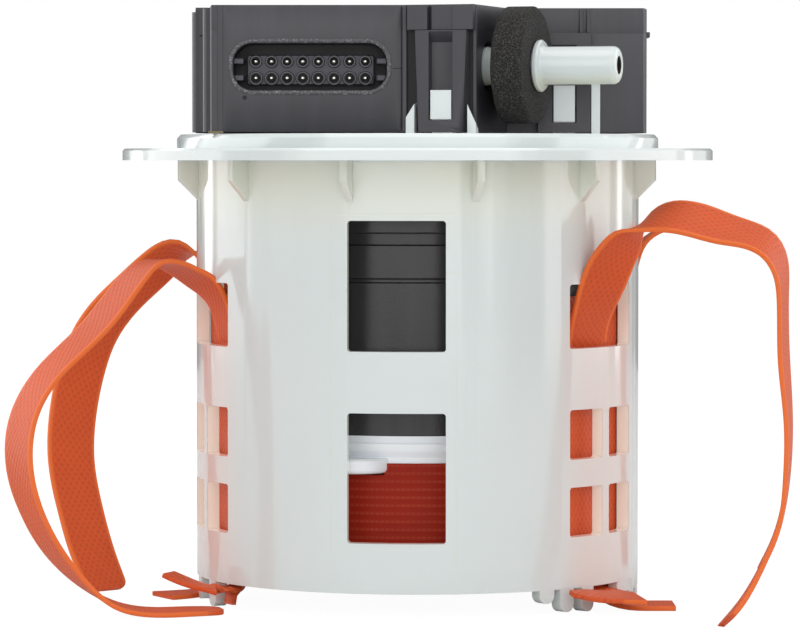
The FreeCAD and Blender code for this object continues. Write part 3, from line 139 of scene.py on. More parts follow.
class Paint:
    """The nodes of one material or of the world."""

    def __init__(self, holder: bpy.types.Material | bpy.types.World, shader: str = "Principled BSDF") -> None:
        """Args: holder: what owns the nodes. shader: the name of the node that its surface starts from."""
        holder.use_nodes = True
        self.holder = holder
        self.tree = holder.node_tree
        self.shader = self.tree.nodes[shader]

    def node(self, kind: str, settings: dict[str, object], inputs: Sequence | dict) -> Node:
        """Adds a node.

        Args: kind: its type without the Shader Node prefix. settings: its settings, which are set first.
            inputs: values or links for its sockets, in order or by name.
        Returns: the node.
        """
        made = self.tree.nodes.new("ShaderNode" + kind)
        for key, setting in settings.items():
            setattr(made, key, setting)
        pairs = inputs.items() if isinstance(inputs, dict) else enumerate(inputs)
        for key, given in pairs:
            self.feed(made.inputs[key], given)
        return made

    def feed(self, socket: Socket, given: object) -> None:
        """Args: socket: an input. given: the value, the output or the Value that goes into it."""
        if isinstance(given, Value):
            given = given.socket
        if isinstance(given, Socket):
            self.tree.links.new(given, socket)
        elif isinstance(given, tuple) and len(given) == 3 and socket.type == "RGBA":
            socket.default_value = (*given, 1.0)
        else:
            socket.default_value = given

    def place(self) -> tuple[Socket, Value, Value, Value]:
        """Returns: the point on the object as a vector, and its x, y and z in metres."""
        point = self.node("TexCoord", {}, ()).outputs["Object"]
        parts = self.node("SeparateXYZ", {}, (point,)).outputs
        return point, Value(self, parts[0]), Value(self, parts[1]), Value(self, parts[2])

    def strip(self) -> tuple[Value, Value]:
        """Returns: how far across and along a strap the point lies, in millimetres."""
        point = self.node("UVMap", {"uv_map": "strip"}, ()).outputs[0]
        parts = self.node("SeparateXYZ", {}, (point,)).outputs
        return Value(self, parts[0]) * STRIP_SCALE, Value(self, parts[1]) * STRIP_SCALE

    def noise(self, point: Socket, scale: float, detail: float = 3.0) -> Value:
        """Args: point: where it is read. scale: cells per metre. detail: its octaves. Returns: 0 to 1."""
        made = self.node("TexNoise", {}, {"Vector": point, "Scale": scale, "Detail": detail})
        return Value(self, made.outputs[0])

    def cells(self, point: Socket, scale: float) -> Value:
        """Args: point: where it is read. scale: cells per metre. Returns: distance from the cell's middle."""
        made = self.node("TexVoronoi", {}, {"Vector": point, "Scale": scale})
        return Value(self, made.outputs[0])

    def mix(self, low: object, high: object, factor: Value | float) -> Socket:
        """Args: low, high: two colours. factor: how much of the second. Returns: the mixed colour."""
        made = self.node("Mix", {"data_type": "RGBA"}, {0: factor, 6: low, 7: high})
        return made.outputs[2]

    def bump(self, height: Value, depth: float) -> None:
        """Args: height: the relief, 0 to 1. depth: its height in metres."""
        made = self.node("Bump", {}, {"Strength": 1.0, "Distance": depth, "Height": height})
        self.feed(self.shader.inputs["Normal"], made.outputs[0])

    def set(self, **values: object) -> None:
        """Args: values: the shader's sockets, with underscores for spaces."""
        for key, given in values.items():
            self.feed(self.shader.inputs[key.replace("_", " ")], given)

    def show(self, shader: Node) -> None:
        """Args: shader: the node that the surface shows instead of its own shader."""
        self.tree.links.new(shader.outputs[0], self.tree.nodes["Material Output"].inputs["Surface"])


@dataclass(frozen=True)
class Finish:
    """A surface: its name, its colour and how rough and metallic it is, with a fine grain."""

    name: str
    colour: Colour
    roughness: float = 0.45
    metallic: float = 0.0
    grain: float = 0.02 * MM
    grain_scale: float = 2500.0
    mottle: float = 0.12
    patch_scale: float = 90.0

    def material(self) -> bpy.types.Material:
        """Returns: the material, made once."""
        name = "look_" + self.name
        found = bpy.data.materials.get(name)
        if found is None:
            found = bpy.data.materials.new(name)
            self.dress(Paint(found))
        return found

    def mottled(self, paint: Paint, patch: Value, depth: float) -> Socket:
        """Args: paint: the nodes. patch: 0 to 1. depth: how much darker the colour is at 0. Returns: the colour."""
        return paint.mix(tuple(c * (1.0 - depth) for c in self.colour), self.colour, patch)

    def dress(self, paint: Paint) -> None:
        """Args: paint: the material's nodes, which get a mottled colour and a fine grain."""
        point = paint.place()[0]
        patch = paint.noise(point, self.patch_scale)
        grain = paint.noise(point, self.grain_scale, 2.0)
        paint.set(Base_Color=self.mottled(paint, patch, self.mottle), Metallic=self.metallic,
                  Roughness=patch * 0.1 + (self.roughness - 0.05))
        paint.bump(grain, self.grain)


@dataclass(frozen=True)
class MilkyPlastic(Finish):
    """Natural white plastic: glossy and cloudy, beige under the flange, with painted light for light through it: cream
    and a faint glow at cut edges, and a pink tint near the straps.
    """

    warm: Colour = (0.80, 0.78, 0.60)
    # Painted light: the next three colours are the cut edges' cream, the pink near the straps and the cut edges' glow,
    # all for light through the plastic
    edge: Colour = (0.90, 0.85, 0.72)
    painted_strap_light: Colour = (0.86, 0.68, 0.62)
    glow: Colour = (0.145, 0.155, 0.145)
    wall: float = 56.8 * MM
    cloud_scale: float = 35.0
    warm_low: float = -0.013
    cut_band: tuple[float, float] = (-0.104, -0.012)
    strap_azimuths: tuple[float, ...] = (FRONT_RIGHT, FRONT_LEFT, REAR_RIGHT, REAR_LEFT)
    strap_reach: float = 15.0 * MM
    strap_band: tuple[float, float] = (-0.106, -0.040)
    strap_soft: float = 7 * MM
    slide_left: float = -21.3 * MM
    slide_right: float = 9.7 * MM
    slide_levels: tuple[float, ...] = (-13.1 * MM, -27.7 * MM)
    line_half: float = 0.12 * MM

    def dress(self, paint: Paint) -> None:
        """Args: paint: the material's nodes. Colour masks follow the radius, the height and the azimuth."""
        point, x, y, z = paint.place()
        radius = (x * x + y * y).math("SQRT")
        azimuth = x.math("ARCTAN2", y * -1.0)
        cloud = paint.noise(point, self.cloud_scale)
        colour = self.mottled(paint, cloud, 0.05)
        under = z.above(self.warm_low, 0.011) * z.below(-0.0003, 0.0002)
        colour = paint.mix(colour, self.warm, under * (cloud * 0.5 + 0.3))
        # Painted light: a pink tint on the wall near each strap, for the strap's light through the plastic
        for angle in self.strap_azimuths:
            arc = abs(azimuth - math.radians(angle)) * self.wall
            near = arc.below(self.strap_reach, self.strap_soft) * z.between(*self.strap_band, 8 * MM)
            colour = paint.mix(colour, self.painted_strap_light, near * 0.5)
        # Painted light: the cut edges are made cream and lighter, for light through the plastic
        cut = radius.below(self.wall, 0.06 * MM) * z.between(*self.cut_band, MM)
        colour = paint.mix(colour, self.edge, cut * 0.75)
        column = (abs(x - self.slide_left).below(self.line_half, self.line_half)
                  + abs(x - self.slide_right).below(self.line_half, self.line_half))
        line = column * z.between(-0.1, self.slide_levels[0], self.line_half)
        for level in self.slide_levels:
            line = line + abs(z - level).below(self.line_half, self.line_half) * x.between(
                self.slide_left, self.slide_right, self.line_half)
        front = y.below(0.0, MM)
        # The emission at the cut edges is a painted glow, for light through the plastic
        paint.set(Base_Color=paint.mix(colour, self.warm, line * front * 0.3),
                  Roughness=cloud * 0.05 + (self.roughness - 0.02), Subsurface_Weight=0.2,
                  Subsurface_Radius=(1.0, 0.9, 0.8), Subsurface_Scale=2 * MM, Coat_Weight=0.6,
                  Coat_Roughness=0.06, Specular_IOR_Level=0.6, Emission_Strength=1.0,
                  Emission_Color=paint.mix((0.0, 0.0, 0.0), self.glow, cut))
        paint.bump(cloud * 0.1 - line * front * 0.3, 0.08 * MM)


@dataclass(frozen=True)
class Silicone(Finish):
    """Orange silicone with rows of small dark pits, staggered from row to row, and plain bright edges."""

    pit: Colour = (0.26, 0.018, 0.012)
    rim: Colour = (0.84, 0.165, 0.035)
    across: float = 0.95
    along: float = 1.25
    half_width: float = 6.1
    pit_share: float = 0.24
    relief: float = 0.12 * MM

    def dress(self, paint: Paint) -> None:
        """Args: paint: the nodes. The relief is a product of two waves, one across and one along the strap."""
        point = paint.place()[0]
        u, v = paint.strip()
        column = (u * (math.pi / self.across)).sine()
        row = (v * (math.pi / self.along)).sine()
        weave = (column * row) * 0.5 + 0.5
        face_mask = abs(u).below(self.half_width, 0.25).math("MAXIMUM", v.above(FLAP_START / 2, 1.0))
        patch = paint.noise(point, 60.0)
        pits = weave.above(0.72, 0.12) * face_mask
        face = paint.mix(self.rim, self.mottled(paint, patch, 0.2), face_mask)
        paint.set(Base_Color=paint.mix(face, self.pit, pits * self.pit_share),
                  Roughness=patch * 0.12 + self.roughness, Specular_IOR_Level=0.25)
        paint.bump(weave * face_mask * -1.0 + 1.0, self.relief)


@dataclass(frozen=True)
class WovenHeater(Finish):
    """Red silicone over a heating fabric: rows of small, slightly lighter dashes round the core."""

    dash: Colour = (0.40, 0.050, 0.024)
    radius: float = 46.0
    row_pitch: float = 2.0
    dash_pitch: float = 1.3

    def dress(self, paint: Paint) -> None:
        """Args: paint: the nodes. Rows follow the height and dashes the azimuth."""
        point, x, y, z = paint.place()
        arc = x.math("ARCTAN2", y * -1.0) * self.radius
        rows = (z * (2 * math.pi / (self.row_pitch * MM))).sine()
        dashes = (arc * (2 * math.pi / self.dash_pitch)).sine()
        weave = (rows * 0.7 + rows * dashes * 0.3) * 0.5 + 0.5
        patch = paint.noise(point, 150.0)
        face = self.mottled(paint, patch, 0.2)
        paint.set(Base_Color=paint.mix(face, self.dash, weave.above(0.68, 0.2) * patch),
                  Roughness=patch * 0.15 + self.roughness, Specular_IOR_Level=0.12)
        paint.bump(weave, 0.04 * MM)


@dataclass(frozen=True)
class Foam(Finish):
    """Black foam: pores between brown-grey walls, some of which glint, with a smoother skin in front."""

    speck: Colour = (0.125, 0.122, 0.118)
    axis: Point = (0.951, -0.309, 0.0)
    skin: float = 42.0 * MM
    pore_scale: float = 2200.0
    glint_scale: float = 3000.0

    def dress(self, paint: Paint) -> None:
        """Args: paint: the nodes, with pores of two sizes, and fewer past the skin's distance along the axis."""
        point, x, y, _ = paint.place()
        along = x * self.axis[0] + y * self.axis[1]
        side = along.below(self.skin, 0.1 * MM)
        pores = paint.cells(point, self.pore_scale)
        fine = paint.noise(point, self.glint_scale)
        glint = (fine.above(0.60, 0.07) * 0.5 + pores.above(0.6, 0.1) * 0.2) * (side * 0.8 + 0.2)
        paint.set(Base_Color=paint.mix(self.colour, self.speck, glint), Roughness=self.roughness,
                  Specular_IOR_Level=0.25)
        paint.bump(pores * 0.5 + fine * 0.5, 0.09 * MM)


@dataclass(frozen=True)
class SatinBlack(Finish):
    """Black moulded plastic: satin, with faint vertical streaks and a fine grain."""

    streak: Colour = (0.060, 0.058, 0.069)
    streak_scale: float = 260.0
    # Painted glints: light flecks mixed into the colour, used on the header's lip
    painted_glint: float = 0.0
    fleck_scale: float = 2100.0
    painted_glint_colour: Colour = (0.55, 0.54, 0.53)

    def dress(self, paint: Paint) -> None:
        """Args: paint: the nodes. Streaks come from a noise stretched in height, flecks from a fine noise; the flecks
        are painted glints.
        """
        point = paint.place()[0]
        tall = paint.node("Mapping", {}, {"Vector": point, "Scale": (1.0, 1.0, 0.08)}).outputs[0]
        streaks = paint.noise(tall, self.streak_scale, 4.0)
        grain = paint.noise(point, self.grain_scale, 2.0)
        colour = paint.mix(self.colour, self.streak, streaks)
        if self.painted_glint:
            flecks = paint.noise(point, self.fleck_scale).above(0.60, 0.06)
            colour = paint.mix(colour, self.painted_glint_colour, flecks * self.painted_glint)
        paint.set(Base_Color=colour, Roughness=streaks * 0.16 + (self.roughness - 0.08))
        paint.bump(grain, self.grain)


@dataclass(frozen=True)
class SpigotPlastic(Finish):
    """Natural plastic, bluish white, warmer along its underside, with painted shade inside the bore."""

    warm: Colour = (0.72, 0.70, 0.52)
    # Painted shade: the bore's walls are the same plastic, darkened in colour
    bore: Colour = (0.035, 0.027, 0.020)
    yaw: float = 18.0
    centre: Point = (22.1, -29.7, 23.6)
    bore_radius: float = 2.32
    cloud_scale: float = 120.0

    def dress(self, paint: Paint) -> None:
        """Args: paint: the nodes. The distance from the spigot's axis tells its bore from its outside."""
        point, x, y, z = paint.place()
        turn = math.radians(self.yaw)
        middle = self.centre[0] * math.sin(turn) + self.centre[1] * math.cos(turn)
        side = x * math.sin(turn) + y * math.cos(turn) - middle * MM
        rise = z - self.centre[2] * MM
        radius = (side * side + rise * rise).math("SQRT")
        cloud = paint.noise(point, self.cloud_scale)
        colour = self.mottled(paint, cloud, 0.04)
        colour = paint.mix(colour, self.warm, rise.below(-3.0 * MM, 2.0 * MM) * 0.55)
        # Painted shade: the bore is darkened
        inside = radius.below(self.bore_radius * MM, 0.05 * MM)
        paint.set(Base_Color=paint.mix(colour, self.bore, inside), Roughness=cloud * 0.06 + self.roughness,
                  Subsurface_Weight=0.15, Subsurface_Scale=1.5 * MM, Subsurface_Radius=(1.0, 0.95, 0.9),
                  Coat_Weight=0.4, Coat_Roughness=0.08)


WHITE = MilkyPlastic("milky_plastic", (0.76, 0.82, 0.81), roughness=0.14)
SPIGOT = SpigotPlastic("spigot_plastic", (0.74, 0.80, 0.79), roughness=0.2)
RING = Finish("ring_plastic", (0.92, 0.955, 1.0), roughness=0.25, mottle=0.02)
BLACK = SatinBlack("black_plastic", (0.028, 0.027, 0.032), roughness=0.4)
# Painted highlight: the header's lip is a lighter copy of the black plastic, with painted glints
PAINTED_LIT_LIP = SatinBlack("header_lip", (0.060, 0.060, 0.065), roughness=0.35, painted_glint=0.32)
WELL = SatinBlack("header_well", (0.05, 0.05, 0.06), roughness=0.15)
# Painted shade: the header's inside is a darker copy of the black plastic
PAINTED_SHADE_INSIDE = SatinBlack("header_inside_painted_shade", (0.006, 0.006, 0.007), roughness=0.5, streak=(0.012, 0.012, 0.013))
BLOCK = SatinBlack("header_block", (0.036, 0.036, 0.050), roughness=0.35, streak=(0.060, 0.060, 0.078))
# Painted shade: dark sheets put in gaps and wells where there is only shade
SHADE = SatinBlack("painted_deep_shade", (0.004, 0.004, 0.005), roughness=0.7, streak=(0.008, 0.008, 0.009))
SEALANT = Finish("sealant", (0.20, 0.16, 0.085), roughness=0.5)
POT = SatinBlack("pot_plastic", (0.015, 0.014, 0.015), roughness=0.22, streak=(0.034, 0.032, 0.036))
FOAM = Foam("foam", (0.0165, 0.0155, 0.015), roughness=0.9)
ORANGE = Silicone("silicone", (0.79, 0.118, 0.028), roughness=0.42)
CORE = WovenHeater("core_silicone", (0.34, 0.018, 0.006), roughness=0.35)
RUBBER = Finish("seal_rubber", (0.02, 0.02, 0.02), roughness=0.6)
STEEL = Finish("steel", (0.62, 0.62, 0.61), roughness=0.32, metallic=1.0)
PIN_METAL = Finish("pin_metal", (0.80, 0.78, 0.73), roughness=0.18, metallic=1.0)
COPPER = Finish("copper", (0.72, 0.32, 0.14), roughness=0.3, metallic=1.0)
BOARD = Finish("board", (0.03, 0.16, 0.07), roughness=0.35)
MAGNET = Finish("magnet", (0.08, 0.08, 0.085), roughness=0.4)
MESH = Finish("filter_mesh", (0.78, 0.78, 0.73), roughness=0.7, grain=0.1 * MM)

FINISHES: dict[str, Finish] = {
    "white_plastic": WHITE, "spigot_plastic": SPIGOT, "black_plastic": BLACK, "pot_plastic": POT, "foam": FOAM,
    "silicone": ORANGE, "core_silicone": CORE, "seal_rubber": RUBBER, "steel": STEEL, "pin_metal": PIN_METAL,
    "copper": COPPER, "board": BOARD, "magnet": MAGNET, "filter_mesh": MESH,
}


class Surface:
    """A mesh that grows by grids of points."""

    def __init__(self) -> None:
        """Starts an empty mesh."""
        self.points: list[np.ndarray] = []
        self.faces: list[tuple[int, ...]] = []
        self.strips: list[np.ndarray] = []
        self.count = 0

    def grid(self, points: np.ndarray, strip: np.ndarray | None = None) -> None:
        """Adds a tube of quads through closed rows of points. Its ends are flat, and open if they are the same.

        Args: points: rows by columns by 3. strip: rows by columns by 2, what each point is across and along a
            strap, in millimetres.
        """
        rows, columns = points.shape[:2]
        i, j = (a.ravel() for a in np.meshgrid(np.arange(rows - 1), np.arange(columns), indexing="ij"))
        near, far, beside = i * columns, (i + 1) * columns, (j + 1) % columns
        quads = np.stack((near + j, near + beside, far + beside, far + j), axis=1)
        faces = [tuple(q) for q in (quads + self.count).tolist()]
        if not np.allclose(points[0], points[-1]):
            first = (np.arange(columns)[::-1] + self.count).tolist()
            last = (np.arange(columns) + (rows - 1) * columns + self.count).tolist()
            faces += [tuple(first), tuple(last)]
        self.faces += faces
        self.points.append(points.reshape(-1, 3))
        self.strips.append((np.zeros((rows, columns, 2)) if strip is None else strip).reshape(-1, 2))
        self.count += rows * columns

    def build(self, name: str, finish: Finish, smooth_angle: float, bevel: float) -> Object:
        """Makes the object.

        Args: name: the piece's name. finish: its surface. smooth_angle: the widest angle that stays soft, in
            degrees. bevel: the width of a rounding on its sharp edges, in metres.
        Returns: the object, at the origin.
        """
        mesh = bpy.data.meshes.new(name)
        points = np.concatenate(self.points)
        mesh.from_pydata(points.tolist(), [], self.faces)
        strips = np.concatenate(self.strips) / STRIP_SCALE
        corners = np.empty(len(mesh.loops), dtype=np.int32)
        mesh.loops.foreach_get("vertex_index", corners)
        layer = mesh.uv_layers.new(name="strip")
        layer.data.foreach_set("uv", strips[corners].astype(np.float32).ravel())
        tidy(mesh, OWN_MERGE)
        return stand(name, mesh, finish, smooth_angle, bevel)


def tidy(mesh: bpy.types.Mesh, merge: float, flat: float = 0.0) -> None:
    """Merges a mesh's doubles, joins its flat faces if asked to, and turns its faces outwards.

    Args: mesh: the mesh. merge: how near doubles lie, in metres. flat: the least turn between faces that are kept
        apart, in degrees, or 0 to join none.
    """
    work = bmesh.new()
    work.from_mesh(mesh)
    bmesh.ops.remove_doubles(work, verts=work.verts, dist=merge)
    if flat:
        bmesh.ops.dissolve_limit(work, angle_limit=math.radians(flat), verts=work.verts, edges=work.edges)
    bmesh.ops.recalc_face_normals(work, faces=work.faces)
    work.to_mesh(mesh)
    work.free()


def stand(name: str, mesh: bpy.types.Mesh, finish: Finish, smooth_angle: float, bevel: float) -> Object:
    """Puts a mesh in the scene.

    Args: name: the piece's name. mesh: its mesh. finish: its surface. smooth_angle: in degrees. bevel: in metres.
    Returns: the object.
    """
    mesh.materials.clear()
    mesh.materials.append(finish.material())
    mesh.polygons.foreach_set("use_smooth", np.ones(len(mesh.polygons), dtype=bool))
    mesh.set_sharp_from_angle(angle=math.radians(smooth_angle))
    piece = bpy.data.objects.new(name, mesh)
    bpy.context.scene.collection.objects.link(piece)
    if bevel:
        rounding = piece.modifiers.new("Rounding", "BEVEL")
        rounding.width = bevel
        rounding.segments = 2
        rounding.limit_method = "ANGLE"
        rounding.angle_limit = math.radians(smooth_angle)
        rounding.harden_normals = True
    return piece


def spline(knots: np.ndarray, values: np.ndarray, at: np.ndarray) -> np.ndarray:
    """A natural cubic spline: pieces of cubics with equal slopes and curvatures where they meet.

    Args: knots: n places. values: n by k. at: the places to read. Returns: the values there.
    """
    count = len(knots)
    gaps = np.diff(knots)
    system = np.eye(count)
    right = np.zeros_like(values)
    inner = np.arange(1, count - 1)
    system[inner, inner - 1] = gaps[:-1]
    system[inner, inner] = 2 * (gaps[:-1] + gaps[1:])
    system[inner, inner + 1] = gaps[1:]
    slopes = np.diff(values, axis=0) / gaps[:, None]
    right[1:-1] = 6 * np.diff(slopes, axis=0)
    curves = np.linalg.solve(system, right)
    k = np.clip(np.searchsorted(knots, at, side="right") - 1, 0, count - 2)
    h = gaps[k][:, None]
    a = (knots[k + 1] - at)[:, None] / h
    b = 1.0 - a
    bend = ((a ** 3 - a) * curves[k] + (b ** 3 - b) * curves[k + 1]) * h ** 2 / 6
    return a * values[k] + b * values[k + 1] + bend


def unit(vectors: np.ndarray) -> np.ndarray:
    """Args: vectors: rows of three numbers. Returns: the same ways, one unit long."""
    return vectors / np.linalg.norm(vectors, axis=-1, keepdims=True)


def rounded_outline(width: float, height: float, radius: float, steps: int = 12) -> np.ndarray:
    """A rectangle with round corners, the corners as quarter circles.

    Args: width, height: its size. radius: of the corners. steps: points on each corner.
    Returns: the points, counter-clockwise, n by 2.
    """
    angle = np.linspace(0, np.pi / 2, steps) + np.arange(4)[:, None] * np.pi / 2
    middles = np.array(((1, 1), (-1, 1), (-1, -1), (1, -1))) * (width / 2 - radius, height / 2 - radius)
    points = np.stack((np.cos(angle), np.sin(angle)), axis=2) * radius + middles[:, None]
    return points.reshape(-1, 2)


def bow(middle: tuple[float, float], radius: float, start: float, stop: float,
        count: int) -> list[tuple[float, float]]:
    """An arc in the profile of a turned shape.

    Args: middle: its radius and height. radius: of the arc. start, stop: its ends in degrees. count: its points.
    Returns: radius and height pairs.
    """
    return [(middle[0] + radius * math.cos(a), middle[1] + radius * math.sin(a))
            for a in np.radians(np.linspace(start, stop, count))]


def turned(surface: Surface, profile: Outline, centre: Sequence[float], axis: Sequence[float], steps: int) -> None:
    """Adds a turned shape: each point of the profile runs round the axis in a circle.

    Args: surface: what it is added to. profile: radius and height pairs in millimetres. centre: where height is
        0, in millimetres. axis: the way that height counts. steps: points on each circle.
    """
    way = unit(np.array(axis, dtype=float))
    helper = np.array((0.0, 0.0, 1.0)) if abs(way[2]) < 0.9 else np.array((1.0, 0.0, 0.0))
    side = unit(np.cross(way, helper))
    other = np.cross(way, side)
    angle = np.linspace(0, 2 * np.pi, steps, endpoint=False)
    circle = np.cos(angle)[:, None] * side + np.sin(angle)[:, None] * other
    table = np.array(profile) * MM
    points = table[:, 0, None, None] * circle + table[:, 1, None, None] * way + np.array(centre) * MM
    surface.grid(points)


@dataclass
class Viewpoint:
    """The camera at the photograph's angle: level with the flange's underside and about a metre away."""

    distance: float = 1.037
    lens: float = 180.6
    sensor: float = 36.0
    image: tuple[int, int] = (800, 635)
    axis_pixel: float = 417.5
    horizon_pixel: float = 160.3

    def build(self) -> None:
        """Aims the camera so that the axis and the horizon fall on their pixels."""
        camera = bpy.data.cameras.new("camera")
        camera.lens = self.lens
        camera.sensor_width = self.sensor
        camera.sensor_fit = "HORIZONTAL"
        camera.clip_end = 20.0
        holder = bpy.data.objects.new("camera", camera)
        focal = self.lens / self.sensor * self.image[0]
        yaw = math.atan((self.axis_pixel - self.image[0] / 2) / focal)
        pitch = math.atan((self.image[1] / 2 - self.horizon_pixel) / focal)
        holder.location = (0.0, -self.distance, 0.0)
        holder.rotation_euler = (math.pi / 2 - pitch, 0.0, yaw)
        bpy.context.scene.collection.objects.link(holder)
        bpy.context.scene.camera = holder


@dataclass
class Studio:
    """A white studio: wide soft boxes, grey cards between them, a pale floor and a white surround."""

    floor_level: float
    ambient: float = 0.42
    card_level: float = 0.25
    card_reach: float = 0.9
    card_distance: float = 1.1
    floor_reach: float = 6.0
    floor_glow: float = 1.13
    floor_share: float = 0.85
    box_height: float = 0.2
    front_light: float = 1.15
    side_light: float = 1.2
    rim_light: float = 2.4
    top_light: float = 1.6

    def sheet(self, name: str, corners: np.ndarray) -> tuple[Object, Paint]:
        """Args: name: of a flat sheet. corners: 2 by 2 by 3. Returns: the sheet and its material's nodes."""
        paint = Paint(bpy.data.materials.new(name))
        mesh = bpy.data.meshes.new(name)
        mesh.from_pydata(corners.reshape(-1, 3).tolist(), [], [(0, 1, 3, 2)])
        mesh.materials.append(paint.holder)
        holder = bpy.data.objects.new(name, mesh)
        bpy.context.scene.collection.objects.link(holder)
        return holder, paint

    def card(self, name: str, azimuth: float, spread: float) -> None:
        """A grey upright card that faces the axis and shows only in glossy surfaces.

        Args: name: its name. azimuth, spread: its middle and half its width as seen from the axis, in degrees.
        """
        turn = math.radians(azimuth)
        half = self.card_distance * math.tan(math.radians(spread))
        middle = np.array((math.sin(turn), -math.cos(turn))) * self.card_distance
        side = np.array((math.cos(turn), math.sin(turn))) * half
        levels = (-self.card_reach, self.card_reach)
        card, paint = self.sheet(name, np.array([[(*p, z) for p in (middle - side, middle + side)] for z in levels]))
        paint.show(paint.node("Emission", {}, {"Color": (self.card_level,) * 3, "Strength": 1.0}))
        card.visible_camera = card.visible_diffuse = card.visible_shadow = card.visible_transmission = False

    def lamp(self, name: str, place: Point, size: tuple[float, float], level: float) -> None:
        """A soft box that faces the axis.

        Args: name: its name. place: where it hangs. size: of its face. level: how bright its face is, 1 is white.
        """
        light = bpy.data.lights.new(name, "AREA")
        light.shape = "RECTANGLE"
        light.size, light.size_y = size
        light.energy = level * math.pi * size[0] * size[1]
        holder = bpy.data.objects.new(name, light)
        back = unit(np.array(place))
        up = np.array((0.0, 0.0, 1.0)) if abs(back[2]) < 0.95 else np.array((0.0, 1.0, 0.0))
        side = unit(np.cross(up, back))
        columns = np.stack((side, np.cross(back, side), back, np.array(place)), axis=1)
        holder.matrix_world = Matrix([*columns.tolist(), (0.0, 0.0, 0.0, 1.0)])
        bpy.context.scene.collection.objects.link(holder)

    def box(self, name: str, azimuth: float, spread: float, distance: float, height: float, level: float) -> None:
        """A soft box above the flange.

        Args: name, azimuth, spread: as for card. distance: from the axis. height: of its face. level: as for lamp.
        """
        turn = math.radians(azimuth)
        width = 2 * distance * math.tan(math.radians(spread))
        place = (distance * math.sin(turn), -distance * math.cos(turn), self.box_height)
        self.lamp(name, place, (width, height), level)

    def surround(self) -> None:
        """Makes the world white where it is seen or mirrored and a plain level where it lights."""
        world = bpy.data.worlds.new("surround")
        bpy.context.scene.world = world
        paint = Paint(world, "Background")
        rays = paint.node("LightPath", {}, ()).outputs
        level: Value | float = self.ambient
        for kind in ("Is Camera Ray", "Is Glossy Ray", "Is Transmission Ray"):
            level = Value(paint, rays[kind]).math("MAXIMUM", level)
        paint.set(Color=(1.0, 1.0, 1.0), Strength=level)

    def floor(self) -> None:
        """Lays the floor: white to the eye, with a light shadow under the object."""
        half, level = self.floor_reach, self.floor_level
        corners = np.array([[(x, y, level) for x in (-half, half)] for y in (-half, half)])
        floor, paint = self.sheet("floor", corners)
        paint.set(Base_Color=(0.82, 0.82, 0.82), Roughness=0.9, Specular_IOR_Level=0.0)
        seen = paint.node("LightPath", {}, ())
        glow = paint.node("Emission", {}, {"Color": (1.0, 1.0, 1.0), "Strength": self.floor_glow})
        share = Value(paint, seen.outputs["Is Camera Ray"]) * self.floor_share
        paint.show(paint.node("MixShader", {}, (share, paint.shader.outputs[0], glow.outputs[0])))

    def build(self) -> None:
        """Hangs the lamps and cards, lays the floor and sets how colours are shown."""
        bpy.context.scene.view_settings.view_transform = "Standard"
        self.surround()
        self.floor()
        # Name, azimuth, spread, distance, height and level of each upright box
        for box in (("front_box", -3.0, 42.0, 1.7, 1.6, self.front_light),
                    ("left_box", -102.0, 24.0, 1.2, 1.4, self.side_light),
                    ("right_box", 92.0, 25.0, 1.2, 1.4, self.side_light),
                    ("left_rim", -137.0, 6.0, 1.3, 1.4, self.rim_light),
                    ("right_rim", 127.0, 3.0, 1.3, 1.4, self.rim_light)):
            self.box(*box)
        self.lamp("top_box", (0.0, -0.25, 1.3), (1.2, 1.0), self.top_light)
        # Name, azimuth and spread of each card
        for card in (("left_card", -63.5, 12.0), ("right_card", 55.0, 10.2), ("back_card", 180.0, 32.0)):
            self.card(*card)


class End(Enum):
    """How a strip ends: cut square, or with round corners."""

    SQUARE = 0.0
    ROUND = 2.6


